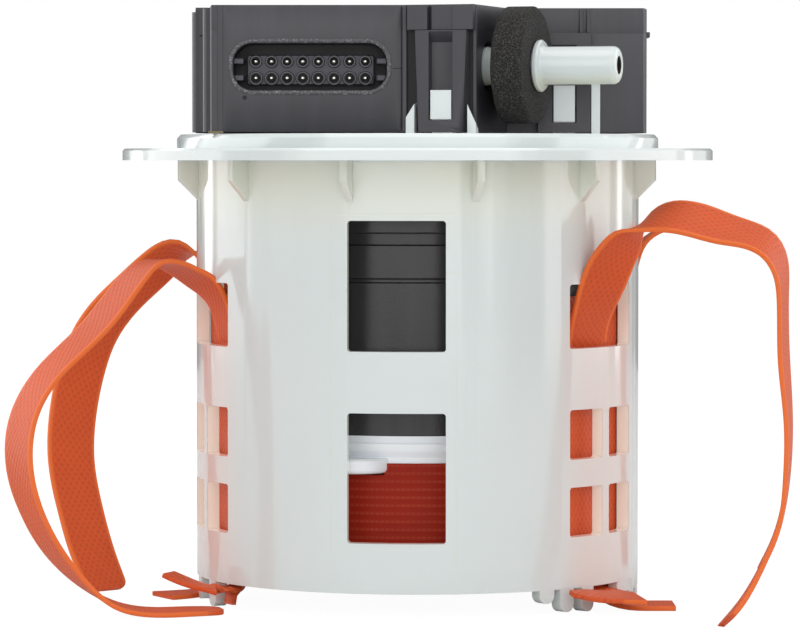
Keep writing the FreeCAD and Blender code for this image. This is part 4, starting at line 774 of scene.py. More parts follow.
@dataclass
class Ribbon:
    """A flat strip through its stations: x, y, z, the azimuth and tilt of the line across it, and its width."""

    stations: Sequence[Station]
    end: End = End.SQUARE
    thickness: float = 1.2
    corner: float = 0.35
    spacing: float = 1.6
    start: float = 0.0

    def add(self, surface: Surface) -> None:
        """A spline through the stations carries a rounded rectangle, whose width follows the stations.

        Args: surface: what it is added to.
        """
        table = np.array(self.stations, dtype=float)
        knots = np.concatenate(([0.0], np.cumsum(np.linalg.norm(np.diff(table[:, :3], axis=0), axis=1))))
        rows = max(2, int(knots[-1] / self.spacing))
        at = np.linspace(0, knots[-1], rows)
        if self.end is End.ROUND:
            near = knots[-1] - self.end.value * (1 - np.cos(np.linspace(0, np.pi / 2, 7)[1:]))
            at = np.unique(np.concatenate((at[at < near.min() - 0.1], near, [knots[-1]])))
        read = spline(knots, table, at)
        centre = read[:, :3]
        step = 0.05
        ahead = spline(knots, table, np.clip(at + step, 0, knots[-1]))[:, :3]
        behind = spline(knots, table, np.clip(at - step, 0, knots[-1]))[:, :3]
        along = unit(ahead - behind)
        turn, tilt = np.radians(read[:, 3]), np.radians(read[:, 4])
        across = np.stack((np.cos(turn) * np.cos(tilt), np.sin(turn) * np.cos(tilt), np.sin(tilt)), axis=1)
        across = unit(across - along * np.sum(across * along, axis=1, keepdims=True))
        up = np.cross(along, across)
        half = read[:, 5] / 2
        if self.end is End.ROUND:
            left = np.clip(self.end.value - (knots[-1] - at), 0, self.end.value)
            half = half - self.end.value + np.sqrt(self.end.value ** 2 - left ** 2)
        share, reach, rise = self.section()
        wide = share[None, :] * (half - self.corner)[:, None] + reach[None, :]
        points = centre[:, None] + wide[..., None] * across[:, None] + rise[None, :, None] * up[:, None]
        strip = np.stack((wide, np.broadcast_to(at[:, None] + self.start, wide.shape)), axis=2)
        surface.grid(points * MM, strip=strip)

    def section(self) -> tuple[np.ndarray, np.ndarray, np.ndarray]:
        """Returns: for each point of the outline its share of the half width, its reach past it and its rise."""
        angle = np.linspace(0, np.pi / 2, 4)
        flat = self.thickness / 2 - self.corner
        right = np.stack((np.ones(4), self.corner * np.cos(angle), flat + self.corner * np.sin(angle)))
        middle = np.linspace(1, -1, 7)[1:-1]
        top = np.stack((middle, np.zeros(5), np.full(5, self.thickness / 2)))
        left = right[:, ::-1] * np.array([[-1], [-1], [1]])
        upper = np.concatenate((right, top, left), axis=1)
        lower = upper[:, ::-1] * np.array([[1], [1], [-1]])
        return tuple(np.concatenate((upper, lower), axis=1))


@dataclass
class HeaterStrap:
    """A strap: a wide flap behind the side windows, a free end that arches out of them, and hooked tails."""

    azimuth: float
    loop: Sequence[Station]
    tails: Sequence[Sequence[Station]]
    flap_width: float = 29.0
    flap_top: float = -34.0
    flap_bottom: float = -104.5
    flap_distance: float = 50.79

    def fill(self, surface: Surface) -> None:
        """Args: surface: gets the strap, which is one piece."""
        angle = math.radians(self.azimuth)
        x, y = self.flap_distance * math.sin(angle), -self.flap_distance * math.cos(angle)
        levels = np.linspace(self.flap_bottom, self.flap_top, 4)
        flap = [(x, y, level, self.azimuth, 0.0, self.flap_width) for level in levels]
        Ribbon(flap, start=FLAP_START).add(surface)
        Ribbon(self.loop, End.ROUND).add(surface)
        for tail in self.tails:
            Ribbon(tail).add(surface)


def seat(piece: Object, slot: str, *nodes: str) -> Object:
    """Ties a piece to the frame. Every piece made here is on the body that doesn't move.

    Args: piece: the piece. slot: not used. nodes: the CAD nodes that it stands for.
    Returns: the piece.
    """
    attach(piece, "module")
    if nodes:
        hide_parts(*nodes)
    LOG.info("%s: %d faces", piece.name, len(piece.data.polygons))
    return piece


def make(fill: Callable[[Surface], None], name: str, finish: Finish, slot: str, *nodes: str,
         angle: float = EDGE_ANGLE, bevel: float = 0.0) -> Object:
    """Makes a piece.

    Args: fill: adds the piece's shape to a surface. name: its name. finish: its surface. slot: the record's slot.
        nodes: the CAD nodes that it stands for. angle: the widest angle that stays soft, in degrees. bevel: the
        rounding of its sharp edges, in metres.
    Returns: the piece.
    """
    surface = Surface()
    fill(surface)
    return seat(surface.build(name, finish, angle, bevel), slot, *nodes)


def softened(node: str, finish: Finish, slot: str, bevel: float, angle: float = 32.0,
             change: Callable[[np.ndarray], None] | None = None) -> Object:
    """A copy of a CAD node with its points merged, its flat faces joined and its edges rounded.

    Args: node: the CAD node. finish: its surface. slot: the record's slot. bevel: the rounding in metres.
        angle: the widest angle that stays soft, in degrees. change: moves the points, n by 3 in millimetres.
    Returns: the piece that stands for the node.
    """
    mesh = bpy.data.objects[node].data.copy()
    tidy(mesh, COPY_MERGE, FLAT_ANGLE)
    piece = seat(stand("dressed_" + node, mesh, finish, angle, bevel), slot, node)
    if change:
        points = np.empty(len(mesh.vertices) * 3)
        mesh.vertices.foreach_get("co", points)
        table = points.reshape(-1, 3) / MM
        change(table)
        mesh.vertices.foreach_set("co", (table * MM).ravel())
        mesh.update()
    return piece


def widened(stations: Sequence[tuple[float, ...]], width: float = 14.0, tip: float = 14.0) -> tuple[Station, ...]:
    """Args: stations: without widths. width: of all but the last. tip: of the last. Returns: them with widths."""
    return tuple((*s, width) for s in stations[:-1]) + ((*stations[-1], tip),)


# Free ends of the straps: x, y, z, azimuth and tilt of the line across the strap
FRONT_RIGHT_LOOP = widened((
    (42.4, -28.8, -47.5, 48, 0), (43.0, -32.0, -41.2, 46, 0), (44.8, -34.6, -35.1, 38, 0),
    (46.5, -36.6, -30.0, 33, -3), (48.5, -37.9, -25.3, 34, -1), (50.8, -38.9, -21.4, 40, 2),
    (53.3, -39.7, -18.0, 50, 11), (56.5, -40.9, -15.6, 60, 22), (60.3, -42.4, -14.1, 63, 29),
    (65.0, -44.4, -14.0, 66, 31), (70.3, -45.8, -15.2, 70, 32), (75.4, -46.6, -16.8, 72, 29),
    (80.9, -47.4, -18.2, 68, 22), (85.5, -47.9, -20.3, 69, 19), (88.7, -48.6, -25.0, 73, 17),
    (89.9, -49.4, -33.9, 77, 8), (90.1, -51.4, -49.4, 77, 2), (90.9, -54.2, -64.0, 80, 0),
    (90.1, -58.3, -78.5, 82, -1), (88.4, -60.8, -87.9, 84, -1), (84.8, -63.3, -96.7, 84, -1),
    (78.2, -67.6, -107.4, 85, -1), (74.2, -70.4, -111.8, 85, -1),
))
FRONT_LEFT_LOOP = widened((
    (-47.7, -16.5, -47.5, 108, 0), (-49.0, -17.4, -42.0, 109, -3), (-50.4, -18.4, -36.8, 109, -10),
    (-54.3, -19.8, -31.2, 107, -20), (-57.8, -21.2, -28.8, 107, -15), (-60.6, -22.6, -27.1, 107, -12),
    (-63.2, -24.2, -25.9, 109, -6), (-66.0, -25.3, -25.6, 113, -1), (-71.9, -28.0, -30.1, 122, 1),
    (-81.0, -33.3, -42.0, 124, 2), (-92.0, -39.0, -53.2, 122, 2), (-97.4, -43.0, -62.8, 123, -3),
    (-98.6, -46.5, -73.0, 121, -5), (-95.8, -49.6, -85.0, 117, -6), (-90.8, -49.0, -95.2, 113, -8),
    (-83.4, -47.2, -104.2, 103, -8), (-74.6, -45.6, -110.4, 94, -2), (-65.8, -44.6, -112.1, 94, 0),
    (-57.5, -43.0, -112.1, 98, 0), (-48.8, -40.8, -112.1, 101, 0),
), tip=10.0)
REAR_LEFT_LOOP = widened((
    (-41.9, 28.2, -47.5, 56, 0), (-45.0, 30.6, -39.8, 56, 0), (-48.4, 32.4, -34.6, 57, 3),
    (-52.0, 33.4, -28.9, 59, 6), (-57.0, 34.0, -25.4, 62, 0), (-63.8, 33.7, -24.8, 62, -20),
    (-70.0, 32.6, -28.8, 62, -34), (-77.3, 31.0, -35.6, 61, -35), (-84.0, 28.5, -43.6, 51, -39),
    (-88.4, 25.2, -53.5, 36, -37), (-91.0, 20.6, -67.0, 32, -24), (-91.0, 16.0, -79.5, 35, -8),
    (-88.3, 12.0, -91.8, 38, -3), (-84.8, 7.2, -102.4, 41, 0), (-80.6, 2.8, -111.6, 46, 0),
))
REAR_RIGHT_LOOP = widened((
    (47.6, 16.4, -47.5, 109, 0), (50.6, 17.4, -40.5, 109, 0), (53.0, 18.2, -35.2, 107, 0),
    (55.2, 18.9, -30.2, 102, 0), (57.0, 19.5, -25.6, 96, 0), (59.6, 20.2, -21.4, 91, 0), (63.8, 20.8, -18.6, 88, 0),
    (70.0, 21.4, -17.2, 86, 0), (78.0, 21.9, -17.4, 85, 0), (86.0, 22.3, -19.8, 85, 0), (92.0, 22.6, -24.8, 85, 0),
    (95.4, 22.8, -33.0, 85, 0), (96.4, 22.9, -45.0, 85, 0), (97.7, 23.0, -62.0, 85, 0), (98.0, 23.0, -76.0, 85, 0),
    (97.1, 23.0, -90.0, 85, 0), (94.2, 23.0, -101.0, 85, 0), (90.6, 23.0, -108.4, 85, 0),
))
# Short tails of the straps, hooked out under the cage, with their widths last
FRONT_RIGHT_TAILS = (
    ((42.4, -26.9, -103.5, 56, 0, 8), (43.6, -27.8, -107.2, 60, 0, 8), (46.6, -31.0, -108.2, 70, 0, 8),
     (49.0, -37.0, -108.4, 84, 0, 9)),
    ((38.2, -47.2, -107.2, 60, 2, 3), (41.4, -45.7, -107.7, 68, 3, 6), (46.5, -42.5, -108.4, 82, 3, 11),
     (51.5, -40.7, -108.8, 88, 3, 13), (55.4, -39.7, -109.1, 92, 3, 13)),
    ((44.8, -23.3, -103.5, 56, 0, 10), (46.0, -24.0, -108.0, 62, 0, 11), (49.2, -26.6, -110.9, 78, 0, 12),
     (53.5, -28.8, -112.0, 88, 0, 13), (58.5, -29.4, -112.1, 90, 0, 14), (64.6, -29.4, -112.1, 90, 0, 14)),
)
FRONT_LEFT_TAILS = (
    ((-44.2, -25.8, -103.5, 109, 0, 6), (-45.2, -26.6, -107.0, 120, 0, 6), (-47.0, -29.4, -108.0, 140, 0, 6),
     (-48.4, -33.6, -107.8, 175, 0, 6), (-52.4, -34.8, -107.2, 238, 0, 6), (-57.4, -31.8, -106.2, 240, 0, 6),
     (-62.8, -28.6, -104.3, 240, 0, 6)),
    ((-49.9, -9.4, -103.5, 109, 0, 8), (-51.4, -4.0, -108.4, 100, 0, 9), (-54.6, -1.0, -111.2, 94, 0, 11),
     (-59.6, -3.0, -112.0, 90, 0, 12), (-65.6, -6.4, -112.1, 80, 0, 13)),
    ((-44.9, -24.3, -103.5, 109, 0, 5), (-45.4, -25.2, -107.4, 116, 0, 5), (-46.9, -27.7, -109.4, 118, 0, 5),
     (-47.3, -28.2, -111.9, 118, 0, 5)),
)
REAR_LEFT_TAILS = (
    ((-41.6, 28.0, -103.5, 56, 0, 12), (-42.8, 28.8, -108.4, 56, 0, 12), (-46.4, 31.4, -111.6, 56, 0, 12),
     (-50.0, 34.0, -112.1, 56, 0, 12), (-54.0, 36.8, -112.1, 56, 0, 12)),
)
REAR_RIGHT_TAILS = (
    ((44.9, 23.9, -103.5, 109, 0, 9), (45.8, 24.7, -108.2, 109, 0, 9), (47.4, 27.6, -111.5, 120, 0, 9),
     (48.6, 32.6, -112.1, 165, 0, 9), (48.4, 38.0, -112.1, 184, 0, 8)),
)

STRAPS = (
    ("front_right", FRONT_RIGHT, FRONT_RIGHT_LOOP, FRONT_RIGHT_TAILS),
    ("front_left", FRONT_LEFT, FRONT_LEFT_LOOP, FRONT_LEFT_TAILS),
    ("rear_left", REAR_LEFT, REAR_LEFT_LOOP, REAR_LEFT_TAILS),
    ("rear_right", REAR_RIGHT, REAR_RIGHT_LOOP, REAR_RIGHT_TAILS),
)


@dataclass
class Outlet:
    """The white spigot with its collar, and the foam ring behind it."""

    back: Point = (22.1, -29.7, 23.6)
    yaw: float = 18.0
    steps: int = 96
    foam_radius: float = 14.65
    foam_depth: float = 8.0
    foam_soft: float = 0.9
    foam_wave: float = 0.0065
    gap: float = 0.15
    stem_radius: float = 4.7
    collar_radius: float = 6.5
    collar_depth: float = 1.6
    barrel_radius: float = 4.745
    barrel_length: float = 19.6
    bore: float = 2.25
    inset: float = 12.0
    root_radius: float = 4.9
    root_start: float = 4.6

    def axis(self) -> np.ndarray:
        """Returns: the way that the spigot points."""
        angle = math.radians(self.yaw)
        return np.array((math.cos(angle), -math.sin(angle), 0.0))

    def foam(self, surface: Surface) -> None:
        """The foam ring, with softly rounded rims and a slightly uneven outline.

        Args: surface: gets the ring. Its radius carries three waves round the axis, a tenth of a millimetre each.
        """
        r, d, soft = self.foam_radius, self.foam_depth, self.foam_soft
        inner = self.stem_radius + 0.3
        back, front = bow((r - soft, soft), soft, -90, 0, 4), bow((r - soft, d - soft), soft, 0, 90, 4)
        turned(surface, [(inner, 0.0), *back, *front, (inner, d), (inner, 0.0)],
               np.array(self.back) + self.axis() * self.gap, self.axis(), self.steps)
        points = surface.points[0].reshape(-1, self.steps, 3)
        middle = points.mean(axis=1, keepdims=True)
        angle = np.linspace(0, 2 * np.pi, self.steps, endpoint=False)[None, :, None]
        wave = np.sin(3 * angle + 0.6) + np.sin(5 * angle + 2.0) + np.sin(11 * angle)
        surface.points[0] = (middle + (points - middle) * (1 + self.foam_wave * wave)).reshape(-1, 3)

    def spigot(self, surface: Surface) -> None:
        """Args: surface: gets the spigot from the hub's root to its rounded mouth, with the bore."""
        depth = self.foam_depth + 2 * self.gap
        face = depth + self.collar_depth
        tip = face + self.barrel_length
        lip, soft = 1.5, 0.45
        mouth = bow((self.barrel_radius - lip, tip - lip), lip, 0, 90, 8)
        profile = [(self.bore, -self.inset), (self.root_radius, -self.inset), (self.root_radius, -self.root_start),
                   (self.stem_radius, -self.root_start), (self.stem_radius, depth), (self.collar_radius - soft, depth),
                   (self.collar_radius, depth + soft), (self.collar_radius, face - soft),
                   (self.collar_radius - soft, face), (self.barrel_radius + 1.0, face),
                   (self.barrel_radius + 0.35, face + 0.25), (self.barrel_radius, face + 1.0), *mouth,
                   (self.bore + 0.25, tip), (self.bore, tip - 0.25), (self.bore, -self.inset)]
        turned(surface, profile, self.back, self.axis(), self.steps)


@dataclass
class Header:
    """The header: a shroud with round ends, the block in it and two rows of eight pins in wells."""

    x: float = -26.8
    z: float = 23.3
    front: float = -35.6
    width: float = 40.6
    height: float = 14.0
    corner: float = 6.02
    wall: float = 1.3
    depth: float = 12.6
    floor: float = 10.0
    block_width: float = 32.0
    block_height: float = 7.6
    block_length: float = 3.4
    pitch: float = 3.92
    row_gap: float = 4.2
    drop: float = 0.65
    row_length: int = 8
    well_radii: tuple[float, float] = (1.62, 1.42)
    pin_radius: float = 0.62
    pin_tip: float = 4.6
    pin_length: float = 8.0
    key_width: float = 2.6
    key_front: float = 1.6

    def rings(self, surface: Surface, steps: Outline, width: float, height: float,
              corner: float, x: float = 0.0, z: float = 0.0) -> None:
        """A rounded rectangle that is drawn in and moved back from ring to ring.

        Args: surface: what it is added to. steps: inset and depth of each ring. width, height, corner: of the
            first ring. x, z: its middle, counted from the header's.
        """
        rows = []
        for inset, depth in steps:
            outline = rounded_outline(width - 2 * inset, height - 2 * inset, max(corner - inset, 0.05))
            y = np.full(len(outline), self.front + depth)
            rows.append(np.stack((outline[:, 0] + self.x + x, y, outline[:, 1] + self.z + z), axis=1))
        surface.grid(np.array(rows) * MM)

    def shroud(self, surface: Surface) -> None:
        """Args: surface: gets the shroud."""
        w = self.wall
        self.rings(surface, ((0.0, self.depth), (0.0, 0.5), (0.2, 0.25), (w - 0.2, 0.25), (w, 0.5), (w, self.floor)),
                   self.width, self.height, self.corner)

    def block(self, surface: Surface) -> None:
        """Args: surface: gets the block that holds the pins and the four keys at the shroud's ends."""
        start = self.floor - self.block_length
        self.rings(surface, ((0.0, self.floor + 0.2), (0.0, start + 0.3), (0.3, start)), self.block_width,
                   self.block_height, 0.9, z=-self.drop)
        reach = self.width / 2 - self.wall
        for side in (-1, 1):
            for level in (-self.row_gap / 2, self.row_gap / 2):
                x = side * (reach - self.key_width / 2 + 0.2)
                self.rings(surface, ((0.0, self.floor), (0.0, self.key_front + 0.2), (0.2, self.key_front)),
                           self.key_width, 1.5, 0.3, x, level - self.drop)

    def lip(self, surface: Surface) -> None:
        """Args: surface: gets the rim round the shroud's mouth."""
        w = self.wall
        self.rings(surface, ((0.05, 0.8), (0.0, 0.55), (0.05, 0.12), (0.28, 0.0), (w - 0.45, 0.0),
                             (w - 0.2, 0.2), (w - 0.15, 0.8), (0.05, 0.8)), self.width, self.height, self.corner)

    def centres(self) -> np.ndarray:
        """Returns: the x and z of the pins, the lower row first."""
        column = (np.arange(self.row_length) - (self.row_length - 1) / 2) * self.pitch + self.x
        row = np.array((-0.5, 0.5)) * self.row_gap + self.z - self.drop
        x, z = np.meshgrid(column, row)
        return np.stack((x.ravel(), z.ravel()), axis=1)

    def pins(self, surface: Surface) -> None:
        """Args: surface: gets the pins, each with a domed tip."""
        r, length = self.pin_radius, self.pin_length
        dome = bow((0.0, 0.0), r, -90, 0, 6)
        for x, z in self.centres():
            turned(surface, [*dome, (r, length), (0.0, length)], (x, self.front + self.pin_tip + r, z), (0, 1, 0), 20)

    def wells(self, surface: Surface) -> None:
        """Args: surface: gets the collars round the pins, wider in the lower row."""
        start = self.front + self.floor - self.block_length
        for index, (x, z) in enumerate(self.centres()):
            wide = self.well_radii[index // self.row_length]
            profile = [(wide - 0.45, 0.6), (wide - 0.45, -0.7), (wide - 0.3, -0.95), (wide, -0.95),
                       (wide + 0.18, -0.75), (wide + 0.18, 0.6), (wide - 0.45, 0.6)]
            turned(surface, profile, (x, start, z), (0, 1, 0), 28)

    def well_shade(self, surface: Surface) -> None:
        """Args: surface: gets dark discs at the floors of the wells, round the pins: painted shade in the wells."""
        start = self.front + self.floor - self.block_length - 0.04
        for x, z in self.centres():
            turned(surface, [(0.0, 0.0), (1.1, 0.0), (1.1, 0.2), (0.0, 0.2)], (x, start, z), (0, 1, 0), 24)


@dataclass
class Sump:
    """What shows under the pot through the lower window: the ring round the core and the disc in front of it."""

    ring_radius: float = 46.0
    ring_top: float = -68.2
    band: float = -70.1
    step: float = -72.2
    cone: float = -73.6
    ring_bottom: float = -75.5
    disc_growth: float = 1.0
    disc_top: float = -73.7
    disc_bottom: float = -77.45
    disc_soft: float = 1.3

    def ring(self, surface: Surface) -> None:
        """Args: surface: gets the ring, a stepped collar over a cone that narrows towards the core."""
        r = self.ring_radius
        profile = [(r - 6.0, self.ring_top), (r - 0.2, self.ring_top), (r - 0.9, self.band),
                   (r - 0.1, self.band - 0.1), (r, self.band - 0.3), (r, self.step + 0.2), (r - 0.1, self.step),
                   (r - 1.1, self.cone), (r - 0.3, self.ring_bottom), (r - 6.0, self.ring_bottom),
                   (r - 6.0, self.ring_top)]
        turned(surface, profile, (0, 0, 0), (0, 0, 1), 192)

    def disc(self, surface: Surface) -> None:
        """Args: surface: gets the disc, with a well rounded lower rim."""
        low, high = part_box("sensor_cap")
        x, y = ((low[i] + high[i]) / 2 / MM for i in (0, 1))
        r = (high[0] - low[0]) / 2 / MM + self.disc_growth
        soft = self.disc_soft
        rim = bow((r - soft, self.disc_bottom + soft), soft, 0, -90, 7)
        turned(surface, [(0.0, self.disc_top), (r - 0.5, self.disc_top), (r, self.disc_top - 0.5), *rim,
                         (0.0, self.disc_bottom)], (x, y, 0), (0, 0, 1), 96)


@dataclass
class CageHem:
    """The cage's lower hem behind the right-hand tails, which joins two of its feet."""

    inner: float = 54.2
    outer: float = 56.95
    high: float = -104.0
    low: float = -109.4
    start: float = 62.5
    stop: float = 88.5

    def fill(self, surface: Surface) -> None:
        """Args: surface: gets the hem, an arc of a rectangle."""
        angle = np.radians(np.linspace(self.start, self.stop, 24))[:, None]
        radius = np.array((self.inner, self.outer, self.outer, self.inner))[None, :]
        level = np.array((self.high, self.high, self.low, self.low))[None, :] + 0.0 * angle
        surface.grid(np.stack((radius * np.sin(angle), -radius * np.cos(angle), level), axis=2) * MM)


@dataclass
class ControlUnit:
    """What the control unit shows outside: the plate round the header, corner columns, ribs, lid lip and clip."""

    header: Header
    low: float = 7.1
    seam: float = 32.35
    top: float = 38.5
    plate_left: float = -48.7
    plate_right: float = -3.9
    face: float = -34.8
    plate_depth: float = 0.45
    nose_start: tuple[float, float] = (-3.69, -34.88)
    yaw: float = 18.0
    stand_off: float = 2.8
    recess: float = 1.7
    gap_depth: float = 0.06

    def bar(self, surface: Surface, plan: Outline, low: float, high: float) -> None:
        """Adds an upright bar. Args: surface; plan: its outline in x and y; low, high: its ends."""
        outline = np.array(plan, dtype=float)
        rows = [np.column_stack((outline, np.full(len(outline), level))) for level in (low, high)]
        surface.grid(np.array(rows) * MM)

    def nose_ways(self) -> tuple[np.ndarray, np.ndarray]:
        """Returns: the ways along the nose's front face and into it, as seen from above."""
        turn = math.radians(self.yaw)
        return np.array((math.cos(turn), -math.sin(turn))), np.array((math.sin(turn), math.cos(turn)))

    def nose_bar(self, surface: Surface, along: tuple[float, float], back: tuple[float, float], low: float,
                 high: float) -> None:
        """Adds a bar on the turned nose.

        Args: surface: what it is added to. along: its ends along the nose's front face. back: its front and back,
            counted back from that face. low, high: its heights.
        """
        way, inwards = self.nose_ways()
        corners = [(along[0], back[0]), (along[1], back[0]), (along[1], back[1]), (along[0], back[1])]
        self.bar(surface, [np.array(self.nose_start) + a * way + b * inwards for a, b in corners], low, high)

    def plate(self, surface: Surface) -> None:
        """Args: surface: gets the plate that carries the header, as rings from its edge to the header's outline."""
        width, height = self.plate_right - self.plate_left, self.top - self.low
        middle = np.array(((self.plate_right + self.plate_left) / 2, (self.top + self.low) / 2))
        rows = []
        for inset, depth in ((0.0, 0.0), (0.0, 0.6), (0.25, 1.0)):
            outline = rounded_outline(width - 2 * inset, height - 2 * inset, 0.8) + middle
            rows.append(np.insert(outline, 1, self.face - depth * self.plate_depth, axis=1))
        header = self.header
        hole = rounded_outline(header.width - 0.4, header.height - 0.4, header.corner - 0.2)
        hole += np.array((header.x, header.z))
        for depth in (1.0, 0.0):
            rows.append(np.insert(hole, 1, self.face - depth * self.plate_depth, axis=1))
        rows.append(rows[0])
        surface.grid(np.array(rows) * MM)

    def columns(self, surface: Surface) -> None:
        """Args: surface: gets the rounded, stepped columns at the unit's left corner."""
        self.bar(surface, ((-48.6, -35.1), (-49.6, -35.0), (-50.7, -34.5), (-51.5, -33.6), (-51.8, -32.2),
                           (-51.8, -27.5), (-50.4, -27.0), (-48.6, -30.0)), self.low, self.top)
        self.bar(surface, ((-51.4, -28.6), (-52.6, -28.4), (-53.6, -27.6), (-54.0, -26.0), (-54.2, -19.0),
                           (-54.4, -12.0), (-50.0, -12.0), (-50.0, -24.0)), self.low, self.top - 0.4)
        self.bar(surface, ((-54.0, -19.6), (-55.6, -19.3), (-56.7, -18.5), (-57.2, -17.2), (-57.2, -8.0),
                           (-50.0, -8.0), (-50.0, -14.0)), self.low, self.top - 1.0)

    def ribs(self, surface: Surface) -> None:
        """Args: surface: gets the ribs beside the plate, on the nose's corner and on the lid, and the clip."""
        self.bar(surface, box_plan(-3.75, -35.9, -2.7, -34.0), self.low, self.top)
        self.nose_bar(surface, (18.4, 19.3), (-0.3, 1.4), self.low, self.top)
        for x in (41.2, 43.0):
            self.bar(surface, box_plan(x, -13.7, x + 0.9, -12.5), self.seam, self.top)
        self.bar(surface, box_plan(58.4, -4.0, 59.7, 4.0), 31.5, 32.9)

    def lip(self, surface: Surface) -> None:
        """Args: surface: gets the lid's lip over the snap loop, with its recess."""
        for along, front in (((2.0, 7.3), self.stand_off), ((13.8, 19.1), self.stand_off), ((7.2, 8.1), 0.3),
                             ((8.0, 13.9), self.recess)):
            self.nose_bar(surface, along, (-front, 0.2), self.seam, self.top - 0.1)

    def gaps(self, surface: Surface) -> None:
        """Args: surface: gets dark sheets: painted shade in the gaps beside the snap loop and in the dimple, and the
        short seams as dark joints.
        """
        for along in ((1.1, 3.6), (16.6, 18.35)):
            self.nose_bar(surface, along, (-self.gap_depth, 0.05), self.low, self.seam)
        front = self.face - self.plate_depth - self.gap_depth
        self.bar(surface, box_plan(-6.1, front, -3.9, front + 0.3), 22.8, 23.0)
        self.bar(surface, ((-55.2, -19.42), (-54.2, -19.62), (-54.2, -19.0), (-55.2, -19.0)), 31.3, 31.7)
        turned(surface, [(0.0, 0.0), (0.55, 0.0), (0.55, 0.3), (0.0, 0.3)], (-43.1, front, 15.6), (0, 1, 0), 24)

    def sealant(self, surface: Surface) -> None:
        """Args: surface: gets the bit of sealant that shows under the left corner."""
        self.bar(surface, ((-52.2, -34.9), (-51.2, -35.4), (-48.4, -35.5), (-48.4, -34.0), (-52.2, -33.5)), 6.65, 7.3)


def box_plan(left: float, front: float, right: float, back: float) -> tuple[tuple[float, float], ...]:
    """Args: left, front, right, back: the sides of a rectangle. Returns: its corners, counter-clockwise."""
    return (left, front), (right, front), (right, back), (left, back)


# The snap loop on the nose: its middle along the nose's face, half its width, half its window's, how far each side
# draws in at its foot, all in millimetres
LOOP_MIDDLE, LOOP_HALF, LOOP_WINDOW, LOOP_TAPER = 10.7, 6.7, 3.1, 0.95
# Between these heights lies the upper edge of its window
LOOP_HEAD = (25.0, 31.0)
# The posts beside the loop: their x in millimetres, the side that falls away, and how steeply
POSTS = ((-1.85, -1, 1.6), (13.3, 1, 2.2))


def taper_loop(points: np.ndarray) -> None:
    """Narrows the snap loop on the nose towards its foot and opens its window up to the lid.

    Args: points: the control housing's points. Those in front of the nose's face slide along it by a share of
        their depth under the lid.
    """
    control = ControlUnit(Header())
    way, inwards = control.nose_ways()
    place = points[:, :2] - np.array(control.nose_start)
    along, back = place @ way, place @ inwards
    off = along - LOOP_MIDDLE
    loop = (back < -0.2) & (abs(off) < LOOP_HALF + 0.2)
    outer = loop & (abs(off) > LOOP_WINDOW + 1.0)
    share = (control.seam - points[:, 2]) / (control.seam - control.low)
    slide = -LOOP_TAPER * np.sign(off) * share
    points[outer, :2] += slide[outer, None] * way
    low, high = LOOP_HEAD
    head = loop & (abs(off) < LOOP_WINDOW + 0.2) & (points[:, 2] > low) & (points[:, 2] < high)
    points[head, 2] = control.seam - 0.4


def lean_posts(points: np.ndarray) -> None:
    """Gives the posts beside the nose's loop their slanted tops.

    Args: points: the flange's points. A post's top falls away from the loop.
    """
    for x, side, slant in POSTS:
        post = (abs(points[:, 0] - x) < 2.4) & (points[:, 1] < -33.0) & (points[:, 1] > -46.0)
        post &= points[:, 2] > 6.65
        fall = np.clip((points[:, 0] - x) * side + 1.2, 0.0, 3.0)
        points[post, 2] -= fall[post] * slant


def valve_spring() -> None:
    """The check valve's spring, a softened copy of its node with a mesh of its own."""
    piece = softened("check_valve_spring", STEEL, "steel", 0.0, SOFT_ANGLE)
    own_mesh(piece)


def dress_nodes(frame: dict) -> None:
    """Each CAD node that stays in view gets the finish of its slot."""
    for part in frame["record"]["subparts"]:
        node = frame["nodes"][part["node"]]
        for holder in node.material_slots:
            holder.material = FINISHES[part["material_slot"]].material()


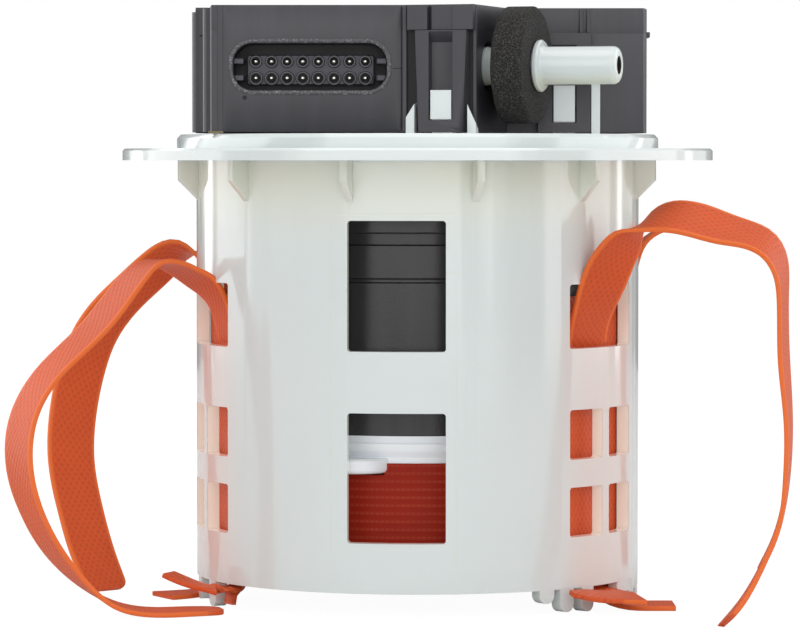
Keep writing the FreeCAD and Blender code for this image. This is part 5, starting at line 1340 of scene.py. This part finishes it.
def main() -> None:
    """Builds the pump's looks round the frame."""
    logging.basicConfig(level=logging.INFO, format="%(message)s")
    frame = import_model()
    dress_nodes(frame)
    floor_level = float(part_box("flange_cage")[0][2])
    Viewpoint().build()
    Studio(floor_level).build()
    softened("flange_cage", WHITE, "white_plastic", SOFT_EDGE, change=lean_posts)
    softened("control_housing", BLACK, "black_plastic", SOFT_EDGE, change=taper_loop)
    softened("control_cover", BLACK, "black_plastic", BROAD_EDGE)
    for place, azimuth, loop, tails in STRAPS:
        node = "heater_strap_" + place
        make(HeaterStrap(azimuth, loop, tails).fill, "dressed_" + node, ORANGE, "silicone", node, angle=SOFT_ANGLE)
    softened("pump_pot", POT, "pot_plastic", SOFT_EDGE)
    softened("heater_core", CORE, "core_silicone", BROAD_EDGE)
    valve_spring()
    sump, outlet, header = Sump(), Outlet(), Header()
    control = ControlUnit(header)
    make(sump.ring, "core_collar", RING, "spigot_plastic", "core_ring", angle=FIRM_ANGLE)
    make(sump.disc, "sensor_disc", RING, "spigot_plastic", "sensor_cap", angle=FIRM_ANGLE)
    make(CageHem().fill, "cage_hem", WHITE, "white_plastic", angle=FIRM_ANGLE, bevel=SOFT_EDGE)
    make(outlet.foam, "foam_washer", FOAM, "foam", "foam_ring")
    make(outlet.spigot, "outlet_fitting", SPIGOT, "spigot_plastic", "outlet_spigot")
    # The shroud wears the painted shade of its inside
    make(header.shroud, "header_shroud", PAINTED_SHADE_INSIDE, "black_plastic", "connector_shroud", angle=MID_ANGLE)
    make(header.block, "header_block", BLOCK, "black_plastic", angle=MID_ANGLE)
    # The lip carries a painted highlight and painted glints
    make(header.lip, "header_lip", PAINTED_LIT_LIP, "black_plastic", angle=SOFT_ANGLE)
    make(control.plate, "header_plate", BLACK, "black_plastic", angle=MID_ANGLE)
    make(control.columns, "corner_columns", BLACK, "black_plastic", angle=SOFT_ANGLE)
    make(control.ribs, "housing_ribs", BLACK, "black_plastic", angle=FIRM_ANGLE, bevel=FINE_EDGE)
    make(control.lip, "lid_lip", BLACK, "black_plastic", angle=FIRM_ANGLE, bevel=FINE_EDGE)
    # Dark sheets: painted shade in the gaps and the dimple, and dark seams
    make(control.gaps, "dark_gaps", SHADE, "black_plastic", angle=FIRM_ANGLE)
    make(control.sealant, "corner_sealant", SEALANT, "seal_rubber", angle=FIRM_ANGLE, bevel=FINE_EDGE)
    make(header.pins, "header_pins", PIN_METAL, "pin_metal", "connector_pins", angle=DOME_ANGLE)
    make(header.wells, "header_wells", WELL, "black_plastic")
    make(header.well_shade, "header_holes", SHADE, "black_plastic")


if __name__ == "__main__":
    main()
